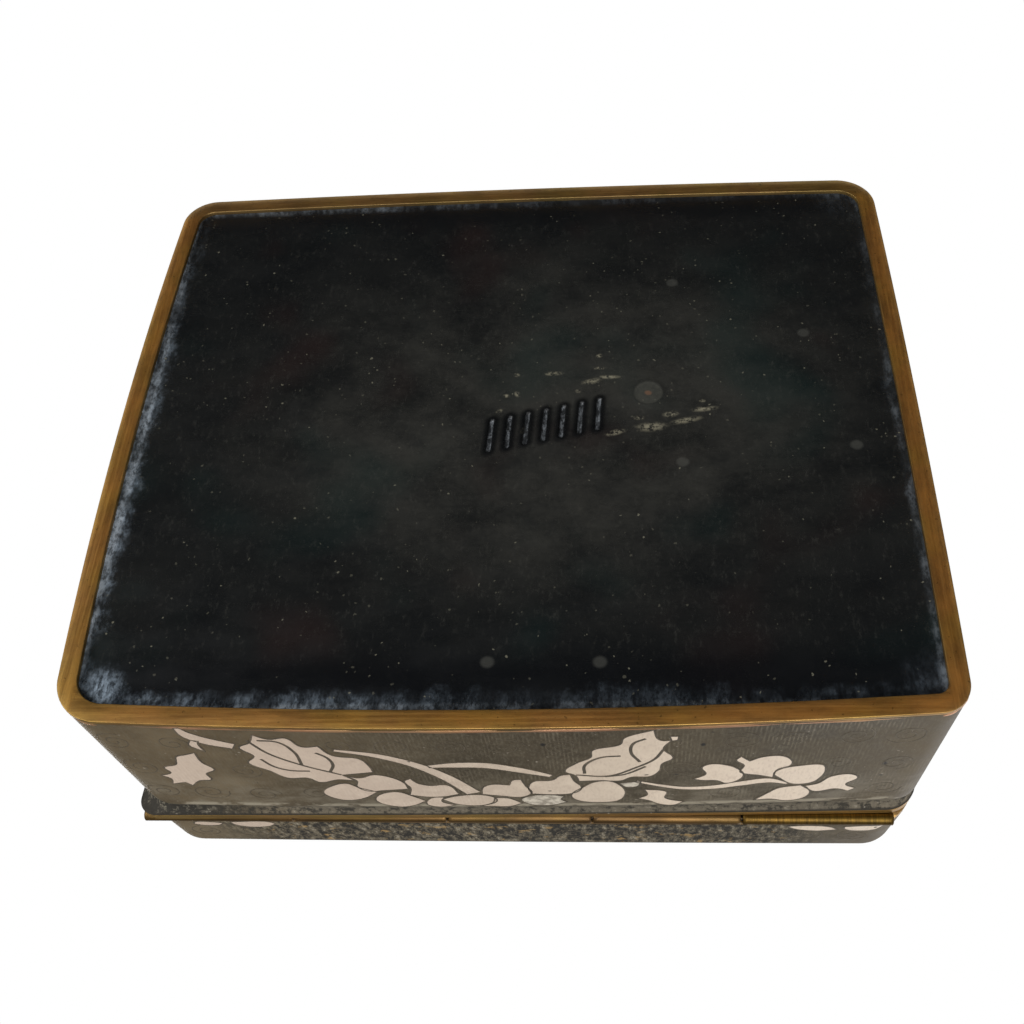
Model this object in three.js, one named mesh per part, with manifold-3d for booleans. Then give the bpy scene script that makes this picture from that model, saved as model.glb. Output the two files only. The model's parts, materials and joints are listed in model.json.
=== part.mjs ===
// Cloisonne enamel box with a hinged lid: enamelled copper body and lid, brass rims, five-knuckle hinge.
// Millimetres, +Z up, hinge at the back (+Y), origin on the resting plane under the middle of the box.
import * as THREE from 'three';
import Module from 'manifold-3d';
import { mergeVertices } from 'three/addons/utils/BufferGeometryUtils.js';

const wasm = await Module();
wasm.setup();

// Driving dimensions of the body
const boxWidth = 120;
const boxDepth = 100.4;
const wallThickness = 2.2;
const footRimHeight = 0.7;
const footRimWidth = 2.7;
const basePanelThickness = 1.8;
const coveStart = 31;
const coveHeight = 3.5;
const coveDepth = 0.45;
const mouthFlare = 0.35;
const rimHeight = 2.1;
const rimChamfer = 0.15;
const neighbourGap = 0.3;

// Corner radii and outward bows of the hand-raised sides, seen from above
const frontLeftRadius = 5.5;
const frontRightRadius = 6.2;
const backRightRadius = 3;
const backLeftRadius = 7;
const mouthBackRadius = 3;
const footBows = { front: 0.6, right: 0.45, back: 1.5, left: 1.25 };
const coveBows = { front: 0.5, right: 0.45, back: 0.75, left: 0.7 };
const mouthBows = { front: 0.3, right: 0.3, back: 0.3, left: 0.3 };

// Driving dimensions of the lid, which sits slightly turned on its hinge
const lidOverhang = 0.8;
const lidBackOverhang = 0.5;
const lidCornerRadius = 6.2;
const lidBow = 0.15;
const lidRimWidth = 2.6;
const lidThickness = 2;
const lidSideHeight = 9.2;
const lidSideLean = 0.05;
const lidShoulderRadius = 5;
const lidTurn = THREE.MathUtils.degToRad(0.75);

// Driving dimensions of the hinge
const hingeSetIn = 0.2;
const hingeStart = -59.8;
const knuckleLengths = [24.2, 24.4, 22.6, 23, 23.2];
const knuckleGap = 0.3;
const knuckleRadius = 1;
const knuckleBore = 0.53;
const pinRadius = 0.45;
const grooveClearance = 0.3;

// Shallow strokes stamped into the middle of the base in place of an inscription
const strokeCount = 7;
const strokePitch = 2.8;
const strokeLength = 5.4;
const strokeWidth = 0.8;
const strokeDepth = 0.3;
const strokeSlant = THREE.MathUtils.degToRad(16);
const markTurn = THREE.MathUtils.degToRad(-12.7);
const markCentre = new THREE.Vector2(4.5, 1.6);

// Steps of the curved outlines
const cornerSteps = 6;
const sideSteps = 8;
const shoulderSteps = 6;
const coveSteps = 5;
const roundSteps = 24;

// Levels that follow from the sizes above
const wallBottom = footRimHeight + neighbourGap;
const wallTop = coveStart + coveHeight;
const mouthRimBottom = wallTop + neighbourGap;
const mouthRimTop = mouthRimBottom + rimHeight;
const seamLevel = mouthRimTop + neighbourGap / 2;
const lidRimBottom = mouthRimTop + neighbourGap;
const lidRimTop = lidRimBottom + rimHeight;
const lidBottom = lidRimTop + neighbourGap;
const hingeY = boxDepth / 2 + hingeSetIn;
const hingeLength = knuckleLengths.reduce((sum, length) => sum + length, 0);

// Plans of the body at its foot, at the start of the cove and at the mouth, and of the lid
const footPlan = {
  width: boxWidth,
  depth: boxDepth,
  radii: [frontLeftRadius, frontRightRadius, backRightRadius, backLeftRadius],
  bows: footBows,
  shiftY: 0,
};
const covePlan = { ...footPlan, bows: coveBows };
const mouthPlan = {
  width: boxWidth + 2 * mouthFlare,
  depth: boxDepth + 2 * mouthFlare,
  radii: [frontLeftRadius, frontRightRadius, mouthBackRadius, mouthBackRadius],
  bows: mouthBows,
  shiftY: 0,
};
const lidPlan = {
  width: boxWidth + 2 * lidOverhang,
  depth: boxDepth + lidOverhang + lidBackOverhang,
  radii: Array(4).fill(lidCornerRadius),
  bows: { front: lidBow, right: lidBow, back: lidBow, left: lidBow },
  shiftY: (lidBackOverhang - lidOverhang) / 2,
};

function material(name, colour, roughness, metalness) {
  return new THREE.MeshStandardMaterial({ name, color: colour, roughness, metalness });
}

const finish = {
  ground: () => material('ground_enamel', 0x6b6459, 0.38, 0),
  base: () => material('base_enamel', 0x15181c, 0.3, 0),
  brass: () => material('aged_brass', 0x8f6a3c, 0.42, 0.9),
  hinge: () => material('hinge_brass', 0xa07c3e, 0.4, 0.9),
};

// Outline of a plan grown outwards by `grow`, counterclockwise from above.
// Every outline has the same number of points, so that outlines at different levels can be joined.
function outline(plan, grow = 0) {
  const halfWidth = plan.width / 2 + grow;
  const halfDepth = plan.depth / 2 + grow;
  const corners = [[-1, -1, Math.PI], [1, -1, 1.5 * Math.PI], [1, 1, 0], [-1, 1, 0.5 * Math.PI]];
  const arcs = corners.map(([sideX, sideY, start], corner) => {
    const radius = Math.max(plan.radii[corner] + grow, wallThickness / 4);
    const centre = new THREE.Vector2(sideX * (halfWidth - radius), sideY * (halfDepth - radius));
    return Array.from({ length: cornerSteps + 1 }, (_, step) => {
      const angle = start + (step / cornerSteps) * Math.PI / 2;
      return new THREE.Vector2(Math.cos(angle), Math.sin(angle)).multiplyScalar(radius).add(centre);
    });
  });
  const sides = [
    [new THREE.Vector2(0, -1), plan.bows.front],
    [new THREE.Vector2(1, 0), plan.bows.right],
    [new THREE.Vector2(0, 1), plan.bows.back],
    [new THREE.Vector2(-1, 0), plan.bows.left],
  ];
  const points = [];
  arcs.forEach((arc, corner) => {
    points.push(...arc);
    const from = arc[cornerSteps];
    const to = arcs[(corner + 1) % arcs.length][0];
    const [outwards, bow] = sides[corner];
    for (let step = 1; step < sideSteps; step += 1) {
      const along = step / sideSteps;
      const swell = bow * (1 - (2 * along - 1) ** 2);
      points.push(from.clone().lerp(to, along).addScaledVector(outwards, swell));
    }
  });
  return points.map((point) => new THREE.Vector2(point.x, point.y + plan.shiftY));
}

function ring(points, level) {
  return points.map((point) => new THREE.Vector3(point.x, point.y, level));
}

function mixed(pointsA, pointsB, share) {
  return pointsA.map((point, index) => point.clone().lerp(pointsB[index], share));
}

// Surface through a list of rings. Rings that run upwards outside and downwards inside face outwards.
// `loop` joins the last ring to the first, and otherwise both ends are capped flat.
function surface(rings, loop) {
  const count = rings[0].length;
  const index = [];
  const last = loop ? rings.length : rings.length - 1;
  for (let row = 0; row < last; row += 1) {
    const here = row * count;
    const next = ((row + 1) % rings.length) * count;
    for (let i = 0; i < count; i += 1) {
      const j = (i + 1) % count;
      index.push(here + i, here + j, next + j, here + i, next + j, next + i);
    }
  }
  if (!loop) {
    const top = (rings.length - 1) * count;
    const flat = (points) => points.map((point) => new THREE.Vector2(point.x, point.y));
    for (const [a, b, c] of THREE.ShapeUtils.triangulateShape(flat(rings[0]), [])) {
      index.push(a, c, b);
    }
    for (const [a, b, c] of THREE.ShapeUtils.triangulateShape(flat(rings[rings.length - 1]), [])) {
      index.push(top + a, top + b, top + c);
    }
  }
  const geometry = new THREE.BufferGeometry().setFromPoints(rings.flat());
  geometry.setIndex(index);
  geometry.computeVertexNormals();
  return geometry;
}

function solid(geometry) {
  const bare = geometry.clone();
  bare.deleteAttribute('normal');
  bare.deleteAttribute('uv');
  const merged = mergeVertices(bare);
  return new wasm.Manifold(new wasm.Mesh({
    numProp: 3,
    vertProperties: Float32Array.from(merged.attributes.position.array),
    triVerts: Uint32Array.from(merged.index.array),
  }));
}

function geometryOf(manifold) {
  const mesh = manifold.getMesh();
  const geometry = new THREE.BufferGeometry();
  geometry.setAttribute('position', new THREE.BufferAttribute(Float32Array.from(mesh.vertProperties), 3));
  geometry.setIndex(new THREE.BufferAttribute(Uint32Array.from(mesh.triVerts), 1));
  geometry.computeVertexNormals();
  return geometry;
}

// Brass strip with chamfered outer edges between an inner and an outer outline
function strip(inner, outer, bottom, top) {
  const eased = outer(-rimChamfer);
  return surface([
    ring(inner, top),
    ring(inner, bottom),
    ring(eased, bottom),
    ring(outer(0), bottom + rimChamfer),
    ring(outer(0), top - rimChamfer),
    ring(eased, top),
  ], true);
}

// Round groove along the back of both mouth rims, in which the hinge barrel lies
function hingeGroove(turn) {
  const radius = knuckleRadius + grooveClearance;
  const length = 1.5 * boxWidth;
  const groove = new THREE.CylinderGeometry(radius, radius, length, roundSteps);
  groove.rotateZ(Math.PI / 2);
  groove.translate(0, hingeY, seamLevel);
  groove.rotateZ(turn);
  return solid(groove);
}

function footRim() {
  const inner = outline(footPlan, -footRimWidth);
  return strip(inner, (grow) => outline(footPlan, grow), 0, footRimHeight);
}

function bodyWall() {
  const coveRings = Array.from({ length: coveSteps }, (_, step) => {
    const along = (step + 1) / coveSteps;
    const hollow = -coveDepth * Math.sin(Math.PI * along);
    const points = mixed(outline(covePlan, hollow), outline(mouthPlan, hollow), along ** 2);
    return ring(points, coveStart + along * coveHeight);
  });
  return surface([
    ring(outline(covePlan, -wallThickness), wallTop),
    ring(outline(footPlan, -wallThickness), wallBottom),
    ring(outline(footPlan), wallBottom),
    ring(outline(covePlan), coveStart),
    ...coveRings,
  ], true);
}

// Base panel with the stamped strokes on its underside
function basePanel() {
  const edge = outline(footPlan, -wallThickness - neighbourGap);
  const top = wallBottom + basePanelThickness;
  let panel = solid(surface([ring(edge, wallBottom), ring(edge, top)], false));
  for (let stroke = 0; stroke < strokeCount; stroke += 1) {
    const cut = new THREE.BoxGeometry(strokeWidth, strokeLength, 2 * strokeDepth);
    cut.rotateZ(strokeSlant);
    cut.translate((stroke - (strokeCount - 1) / 2) * strokePitch, 0, 0);
    cut.rotateZ(markTurn);
    cut.translate(markCentre.x, markCentre.y, wallBottom);
    panel = panel.subtract(solid(cut));
  }
  return geometryOf(panel);
}

function bodyMouthRim() {
  const inner = outline(covePlan, -wallThickness);
  const rim = strip(inner, (grow) => outline(mouthPlan, grow), mouthRimBottom, mouthRimTop);
  return geometryOf(solid(rim).subtract(hingeGroove(lidTurn)));
}

function lidRim() {
  const inner = outline(lidPlan, -lidRimWidth);
  const rim = strip(inner, (grow) => outline(lidPlan, grow), lidRimBottom, lidRimTop);
  return geometryOf(solid(rim).subtract(hingeGroove(0)));
}

// Lid shell: leaning sides, a quarter-round shoulder and a flat top, hollow below
function lidShell() {
  const profile = (thickness) => {
    const shoulder = lidShoulderRadius - thickness;
    const shoulderStart = lidBottom + lidSideHeight;
    const lean = lidSideHeight * lidSideLean;
    const rows = [[-thickness, lidBottom]];
    for (let step = 0; step <= shoulderSteps; step += 1) {
      const angle = (step / shoulderSteps) * Math.PI / 2;
      const grow = -thickness - lean - shoulder * (1 - Math.cos(angle));
      rows.push([grow, shoulderStart + shoulder * Math.sin(angle)]);
    }
    return rows.map(([grow, level]) => ring(outline(lidPlan, grow), level));
  };
  return surface([...profile(lidThickness).reverse(), ...profile(0)], false);
}

function knuckle(length) {
  const section = new THREE.Shape().absarc(0, 0, knuckleRadius, 0, 2 * Math.PI);
  section.holes.push(new THREE.Path().absarc(0, 0, knuckleBore, 0, 2 * Math.PI, true));
  const tube = new THREE.ExtrudeGeometry(section, {
    depth: length,
    bevelEnabled: false,
    curveSegments: roundSteps,
  });
  tube.rotateY(Math.PI / 2);
  return tube;
}

function hingePin() {
  const pin = new THREE.CylinderGeometry(pinRadius, pinRadius, hingeLength - knuckleGap, roundSteps);
  pin.rotateZ(Math.PI / 2);
  return pin;
}

function part(name, geometry, surfaceFinish) {
  const mesh = new THREE.Mesh(geometry, surfaceFinish());
  mesh.name = name;
  return mesh;
}

const body = new THREE.Group();
body.add(part('foot_rim', footRim(), finish.brass));
body.add(part('base_panel', basePanel(), finish.base));
body.add(part('body_wall', bodyWall(), finish.ground));
body.add(part('body_mouth_rim', bodyMouthRim(), finish.brass));

const lid = new THREE.Group();
lid.add(part('lid_rim', lidRim(), finish.brass));
lid.add(part('lid_shell', lidShell(), finish.ground));

const hinge = new THREE.Group();
hinge.position.set(hingeStart, hingeY, seamLevel);
let knuckleStart = 0;
knuckleLengths.forEach((length, index) => {
  const barrel = part(`hinge_knuckle_${index + 1}`, knuckle(length - knuckleGap), finish.hinge);
  barrel.position.x = knuckleStart;
  hinge.add(barrel);
  knuckleStart += length;
});
const pin = part('hinge_pin', hingePin(), finish.hinge);
pin.position.x = (hingeLength - knuckleGap) / 2;
hinge.add(pin);

const turned = new THREE.Group();
turned.rotation.z = lidTurn;
turned.add(lid, hinge);

const box = new THREE.Group();
box.add(body, turned);

export default box;
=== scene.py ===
"""Cloisonne enamel box with a hinged lid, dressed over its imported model. Metres, +Z up, hinge at +Y."""

import json
import math
import random
from bisect import bisect_right

import bmesh
import bpy
from mathutils import Matrix, Vector
from mathutils.geometry import delaunay_2d_cdt


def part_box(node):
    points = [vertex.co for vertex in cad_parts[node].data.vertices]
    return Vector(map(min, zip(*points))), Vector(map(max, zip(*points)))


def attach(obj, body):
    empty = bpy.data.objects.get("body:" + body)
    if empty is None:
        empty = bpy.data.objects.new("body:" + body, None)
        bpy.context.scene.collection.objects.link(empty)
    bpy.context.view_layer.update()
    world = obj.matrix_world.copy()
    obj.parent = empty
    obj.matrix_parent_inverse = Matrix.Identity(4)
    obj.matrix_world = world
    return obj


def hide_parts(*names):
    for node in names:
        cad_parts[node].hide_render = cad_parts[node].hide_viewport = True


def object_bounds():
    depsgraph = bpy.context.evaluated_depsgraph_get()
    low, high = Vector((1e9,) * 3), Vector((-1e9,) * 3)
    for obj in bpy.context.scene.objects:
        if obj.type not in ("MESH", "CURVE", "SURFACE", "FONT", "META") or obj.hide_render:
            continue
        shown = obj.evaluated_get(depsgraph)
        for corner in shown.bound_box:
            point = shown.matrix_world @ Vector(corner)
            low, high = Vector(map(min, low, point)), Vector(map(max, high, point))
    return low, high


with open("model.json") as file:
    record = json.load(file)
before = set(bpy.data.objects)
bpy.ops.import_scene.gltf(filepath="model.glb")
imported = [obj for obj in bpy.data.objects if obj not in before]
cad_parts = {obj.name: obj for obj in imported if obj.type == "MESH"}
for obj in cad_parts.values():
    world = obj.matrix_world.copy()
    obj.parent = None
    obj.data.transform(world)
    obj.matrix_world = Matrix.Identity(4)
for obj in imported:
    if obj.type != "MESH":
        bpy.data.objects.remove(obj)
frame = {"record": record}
cad_low, cad_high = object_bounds()

# Foot rim. A strip of brass soldered round the lower edge of the body, on which the box stands.
# It was brushed lengthwise and has gone orange-brown, with olive clouds and dark pits, and it is coloured
# darker and bluer at the front.
MM = 0.001
foot_low, foot_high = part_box("foot_rim")
FOOT_RIM_WIDTH = 2.7 * MM
FOOT_RIM_EASE = 0.12 * MM
BODY_WIDTH = 120 * MM
BODY_DEPTH = 100.4 * MM
FRONT_LEFT, FRONT_RIGHT, BACK_RIGHT, BACK_LEFT = range(4)
CORNER_SIGNS = ((-1, -1), (1, -1), (1, 1), (-1, 1))
CORNER_STEPS = 14
SIDE_STEPS = 44
LEAST_RADIUS = 0.4 * MM

foot_plan = {
    "width": BODY_WIDTH,
    "depth": BODY_DEPTH,
    "radii": [5.5 * MM, 6.2 * MM, 4.5 * MM, 7 * MM],
    "bows": [0.6 * MM, 0.45 * MM, 1.5 * MM, 1.25 * MM],
    "shift": 0,
}


def outline(plan, grow=0.0):
    """Points of a plan grown outwards, counterclockwise from above, always as many."""
    half_x = plan["width"] / 2 + grow
    half_y = plan["depth"] / 2 + grow
    arcs = []
    for corner, (side_x, side_y) in enumerate(CORNER_SIGNS):
        radius = max(plan["radii"][corner] + grow, LEAST_RADIUS)
        centre = Vector((side_x * (half_x - radius), side_y * (half_y - radius)))
        start = math.pi * (1 + corner / 2)
        turns = [start + math.pi / 2 * step / CORNER_STEPS for step in range(CORNER_STEPS + 1)]
        arcs.append([centre + radius * Vector((math.cos(a), math.sin(a))) for a in turns])
    outwards = (Vector((0, -1)), Vector((1, 0)), Vector((0, 1)), Vector((-1, 0)))
    points = []
    for corner, arc in enumerate(arcs):
        points += arc
        far = arcs[(corner + 1) % 4][0]
        for step in range(1, SIDE_STEPS):
            along = step / SIDE_STEPS
            swell = plan["bows"][corner] * (1 - (2 * along - 1) ** 2)
            points.append(arc[-1].lerp(far, along) + outwards[corner] * swell)
    return [Vector((p.x, p.y + plan["shift"])) for p in points]


def ring(points, level):
    return [Vector((p.x, p.y, level)) for p in points]


def blended(first, second, share):
    return [a.lerp(b, share) for a, b in zip(first, second)]


def piece_from(name, points, faces, body, slot):
    """A new smooth-shaded mesh object, in place, riding on a body."""
    mesh = bpy.data.meshes.new(name)
    mesh.from_pydata([tuple(p) for p in points], [], faces)
    mesh.validate()
    mesh.polygons.foreach_set("use_smooth", [True] * len(mesh.polygons))
    piece = bpy.data.objects.new(name, mesh)
    bpy.context.collection.objects.link(piece)
    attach(piece, body)
    return piece


def skin(rings, loop):
    """Points and faces through a list of rings: upwards outside, downwards inside, capped if open."""
    count = len(rings[0])
    points = [p for row in rings for p in row]
    faces = []
    for row in range(len(rings) if loop else len(rings) - 1):
        here = row * count
        above = (row + 1) % len(rings) * count
        for i in range(count):
            j = (i + 1) % count
            faces.append((here + i, here + j, above + j, above + i))
    if not loop:
        faces.append(tuple(reversed(range(count))))
        faces.append(tuple(range(len(points) - count, len(points))))
    return points, faces


def crease(piece, degrees=35):
    """Keeps edges sharper than this angle crisp under smooth shading."""
    piece.data.set_sharp_from_angle(angle=math.radians(degrees))
    return piece


def rounded_strip(inner, outer, low, high, ease, steps=4):
    """Rings of a strip with its four edges rounded. Inner and outer give an outline for a growth."""
    rings = []
    turns = [math.pi / 2 * step / steps for step in range(steps + 1)]
    for a in turns:
        rings.append(ring(inner(ease * (1 - math.cos(a))), high - ease * (1 - math.sin(a))))
    rings.reverse()
    for a in turns:
        rings.append(ring(inner(ease * (1 - math.cos(a))), low + ease * (1 - math.sin(a))))
    for a in reversed(turns):
        rings.append(ring(outer(-ease * (1 - math.cos(a))), low + ease * (1 - math.sin(a))))
    for a in turns:
        rings.append(ring(outer(-ease * (1 - math.cos(a))), high - ease * (1 - math.sin(a))))
    return rings


foot_rings = rounded_strip(
    lambda grow: outline(foot_plan, grow - FOOT_RIM_WIDTH),
    lambda grow: outline(foot_plan, grow),
    foot_low.z,
    foot_high.z,
    FOOT_RIM_EASE,
)
foot_rim = piece_from("foot_rim_brass", *skin(foot_rings, True), "box_body", "rim_brass")
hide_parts("foot_rim")


def put(tree, kind, settings=None, **inputs):
    """A new shader node with its settings, and its inputs given as values or as sockets to link."""
    made = tree.nodes.new(kind)
    for key, value in (settings or {}).items():
        setattr(made, key, value)
    for key, value in inputs.items():
        socket = made.inputs[int(key[1:])] if key[0] == "_" else made.inputs[key.replace("_", " ")]
        if isinstance(value, bpy.types.NodeSocket):
            tree.links.new(value, socket)
        else:
            socket.default_value = value
    return made


def maths(tree, operation, *values, clamp=False):
    settings = {"operation": operation, "use_clamp": clamp}
    return put(tree, "ShaderNodeMath", settings, **{f"_{i}": v for i, v in enumerate(values)}).outputs[0]


def between(tree, value, low, high, to_low=0.0, to_high=1.0):
    """Smooth step of a value from one range to another."""
    made = put(tree, "ShaderNodeMapRange", {"interpolation_type": "SMOOTHSTEP"}, Value=value,
               From_Min=low, From_Max=high, To_Min=to_low, To_Max=to_high)
    return made.outputs["Result"]


def blend_colour(tree, share, first, second, mode="MIX"):
    settings = {"data_type": "RGBA", "blend_type": mode}
    return put(tree, "ShaderNodeMix", settings, _0=share, _6=first, _7=second).outputs[2]


def coat(tree, colour, mask, strength, paint):
    """A colour with a thin coat of paint over it where a mask shows, at most as strong as given."""
    return blend_colour(tree, maths(tree, "MULTIPLY", mask, strength), colour, paint)


def place(tree, scale=(1, 1, 1)):
    """Object coordinates, in metres, stretched by a scale."""
    where = put(tree, "ShaderNodeTexCoord").outputs["Object"]
    return put(tree, "ShaderNodeMapping", None, Vector=where, Scale=scale).outputs["Vector"]


def axes(tree):
    """The X, Y and Z of the object coordinates, as sockets."""
    return put(tree, "ShaderNodeSeparateXYZ", None, Vector=place(tree)).outputs


def noise(tree, where, scale, detail=3.0, roughness=0.55):
    return put(tree, "ShaderNodeTexNoise", None, Vector=where, Scale=scale, Detail=detail,
               Roughness=roughness).outputs["Fac"]


def group(name, inputs, outputs):
    """An empty shader node group with named sockets: its tree, its input node and its output node."""
    tree = bpy.data.node_groups.new(name, "ShaderNodeTree")
    for label, kind, value in inputs:
        made = tree.interface.new_socket(name=label, in_out="INPUT", socket_type=kind)
        made.default_value = value
    for label, kind in outputs:
        tree.interface.new_socket(name=label, in_out="OUTPUT", socket_type=kind)
    return tree, tree.nodes.new("NodeGroupInput"), tree.nodes.new("NodeGroupOutput")


def shared(tree, effect, **values):
    """A node group set into a material with its own values: its output sockets."""
    return put(tree, "ShaderNodeGroup", {"node_tree": effect}, **values).outputs


FLOAT = "NodeSocketFloat"
COLOUR = "NodeSocketColor"
STREAK_STRETCH = 0.03


def make_patina():
    """Old brass: streaks ground along each strip, brown blotches, olive clouds and dark pits."""
    tree, given, result = group(
        "brass_patina",
        [("Metal", COLOUR, (0.4, 0.24, 0.09, 1)), ("Brown", COLOUR, (0.1, 0.05, 0.02, 1)),
         ("Streak Scale", FLOAT, 2500.0), ("Tarnish", FLOAT, 0.5)],
        [("Colour", COLOUR), ("Roughness", FLOAT), ("Height", FLOAT)],
    )
    where = axes(tree)
    off_middle = maths(tree, "ABSOLUTE", where["X"])
    on_end = maths(tree, "GREATER_THAN", off_middle, BODY_WIDTH / 2 - FOOT_RIM_WIDTH)
    run_x = place(tree, (STREAK_STRETCH, 1, 1))
    run_y = place(tree, (1, STREAK_STRETCH, 1))
    run = put(tree, "ShaderNodeMix", {"data_type": "VECTOR"}, _0=on_end, _4=run_x, _5=run_y).outputs[1]
    streaks = noise(tree, run, given.outputs["Streak Scale"], 5.0, 0.65)
    smear = put(tree, "ShaderNodeVectorMath", {"operation": "ADD"}, _0=place(tree, (0.5, 0.5, 1)), _1=run)
    blotches = noise(tree, smear.outputs["Vector"], 260.0, 6.0, 0.7)
    specks = noise(tree, place(tree), 1400.0, 2.0)
    brown = maths(tree, "ADD", between(tree, blotches, 0.34, 0.68, 0.15, 0.7),
                  between(tree, streaks, 0.34, 0.68, 0.17, -0.17))
    brown = maths(tree, "MULTIPLY", brown, given.outputs["Tarnish"], clamp=True)
    colour = blend_colour(tree, brown, given.outputs["Metal"], given.outputs["Brown"])
    olive = noise(tree, place(tree), 75.0, 3.0)
    olive = between(tree, olive, 0.44, 0.62, 0.0, 0.4)
    colour = blend_colour(tree, olive, colour, (0.9, 1.06, 0.75, 1), "MULTIPLY")
    # Towards the front the brass is coloured darker and bluer.
    front = between(tree, where["Y"], -45 * MM, -48 * MM)
    colour = blend_colour(tree, front, colour, (0.74, 0.8, 0.95, 1), "MULTIPLY")
    pits = between(tree, specks, 0.66, 0.74)
    colour = coat(tree, colour, pits, 0.55, (0.03, 0.018, 0.01, 1))
    tree.links.new(colour, result.inputs["Colour"])
    rough = maths(tree, "MULTIPLY_ADD", brown, 0.16, between(tree, streaks, 0.35, 0.7, 0.3, 0.46))
    tree.links.new(rough, result.inputs["Roughness"])
    tree.links.new(streaks, result.inputs["Height"])
    return tree


patina = make_patina()


def finish_of(name):
    """A new material: its node tree and its Principled shader."""
    made = bpy.data.materials.new(name)
    made.use_nodes = True
    return made, made.node_tree, made.node_tree.nodes["Principled BSDF"]


def bump_into(tree, shader, height, strength, distance):
    made = put(tree, "ShaderNodeBump", None, Height=height, Strength=strength, Distance=distance)
    tree.links.new(made.outputs["Normal"], shader.inputs["Normal"])


def brass(name, metal, brown, streak_scale, tarnish, filed=False):
    """Aged brass. A filed strip has marks straight across it as well."""
    made, tree, shader = finish_of(name)
    worn = shared(tree, patina, Metal=metal, Brown=brown, Streak_Scale=streak_scale, Tarnish=tarnish)
    colour = worn["Colour"]
    height = worn["Height"]
    if filed:
        marks = noise(tree, place(tree, (1, 0.05, 0.05)), 4600.0, 3.0, 0.6)
        shade = between(tree, marks, 0.36, 0.64, 0.65, 1.2)
        grey = put(tree, "ShaderNodeCombineColor", None, Red=shade, Green=shade, Blue=shade).outputs["Color"]
        colour = blend_colour(tree, 1.0, colour, grey, "MULTIPLY")
        height = maths(tree, "ADD", height, marks)
    tree.links.new(colour, shader.inputs["Base Color"])
    tree.links.new(worn["Roughness"], shader.inputs["Roughness"])
    shader.inputs["Metallic"].default_value = 0.85
    bump_into(tree, shader, height, 0.25, 0.06 * MM)
    return made


rim_brass = brass("rim_brass_aged", (0.44, 0.265, 0.085, 1), (0.135, 0.067, 0.023, 1), 2600.0, 0.8)
foot_rim.data.materials.append(rim_brass)

# Solder seam of the foot rim. A thin uneven bead of coppery solder where the rim meets the wall.
BEAD_RADIUS = 0.25 * MM
BEAD_HEIGHT = 0.5 * MM
BEAD_SINK = 0.14 * MM
BEAD_SIDES = 8


def bead_rings():
    """Rings of a thin rod laid round the foot, swelling and thinning as melted solder does."""
    line = outline(foot_plan, -BEAD_SINK)
    rows = []
    for side in range(BEAD_SIDES):
        a = 2 * math.pi * side / BEAD_SIDES
        row = []
        for index, spot in enumerate(line):
            swell = 0.82 + 0.12 * math.sin(index * 0.9) + 0.06 * math.sin(index * 2.3 + 1)
            out = BEAD_RADIUS * swell * math.cos(a)
            reach = 1 + out / spot.length
            level = foot_high.z + 0.6 * BEAD_HEIGHT + BEAD_HEIGHT * swell * math.sin(a)
            row.append(Vector((spot.x * reach, spot.y * reach, level)))
        rows.append(row)
    return rows


solder_copper = brass("solder_copper_red", (0.72, 0.42, 0.26, 1), (0.42, 0.17, 0.06, 1), 1500.0, 0.7)
solder_seam = piece_from("foot_solder_seam", *skin(bead_rings(), True), "box_body", "rim_brass")
solder_seam.data.materials.append(solder_copper)

# Base panel. The copper bottom, set inside the walls and coated with black counter-enamel, which drew up
# against the foot rim in the firing. It has a row of stamped strokes, a round scar with a copper dot, and
# dust and cream dirt that has dried on it. Its colour holds painted reflection and highlight along its edges,
# a painted pool of light in its middle, painted shade near its edges and round the strokes, and painted
# glints.
panel_low, panel_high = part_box("base_panel")
WALL = 2.2 * MM
MENISCUS_RISE = 0.62 * MM
MENISCUS_WIDTH = 1.9 * MM
MENISCUS_STEPS = (0, 0.12, 0.3, 0.5, 0.75, 1.05, 1.4, 1.9, 2.7, 3.7)
COARSE_STEP = 1.5 * MM
FINE_STEP = 0.2 * MM
GRID_INSET = 4.6 * MM
MARK_CLEAR = 0.4 * MM
FAR_FROM_EDGE = 9 * MM
STROKES = 7
STROKE_PITCH = 2.8 * MM
STROKE_LENGTH = 5.4 * MM
STROKE_RADIUS = 0.45 * MM
STROKE_DEPTH = 0.34 * MM
STROKE_LIP = 0.1 * MM
STROKE_SLANT = math.radians(16)
MARK_TURN = math.radians(-12.7)
MARK_CENTRE = Vector((4.5 * MM, 1.6 * MM))
MARK_HALF = Vector((11.5 * MM, 4.6 * MM))
MARK_REACH = 14 * MM
SCAR_CENTRE = Vector((20.4 * MM, -4.2 * MM))
SCAR_RADIUS = 2.4 * MM
SCAR_RINGS = (1.2, 1.9, 2.2, 2.4, 2.6, 2.9)
SCAR_TURNS = 48


def in_mark(point):
    """A point of the base seen from the stamped row, which lies turned on it."""
    return Matrix.Rotation(-MARK_TURN, 2) @ (point - MARK_CENTRE)


def stroke_distance(point):
    """Distance of a point of the base from the middle line of the nearest stroke."""
    local = in_mark(point)
    nearest = 1.0
    for stroke in range(STROKES):
        middle = Vector(((stroke - (STROKES - 1) / 2) * STROKE_PITCH, 0))
        near = Matrix.Rotation(-STROKE_SLANT, 2) @ (local - middle)
        past = max(abs(near.y) - STROKE_LENGTH / 2, 0)
        nearest = min(nearest, math.hypot(near.x, past))
    return nearest


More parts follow.
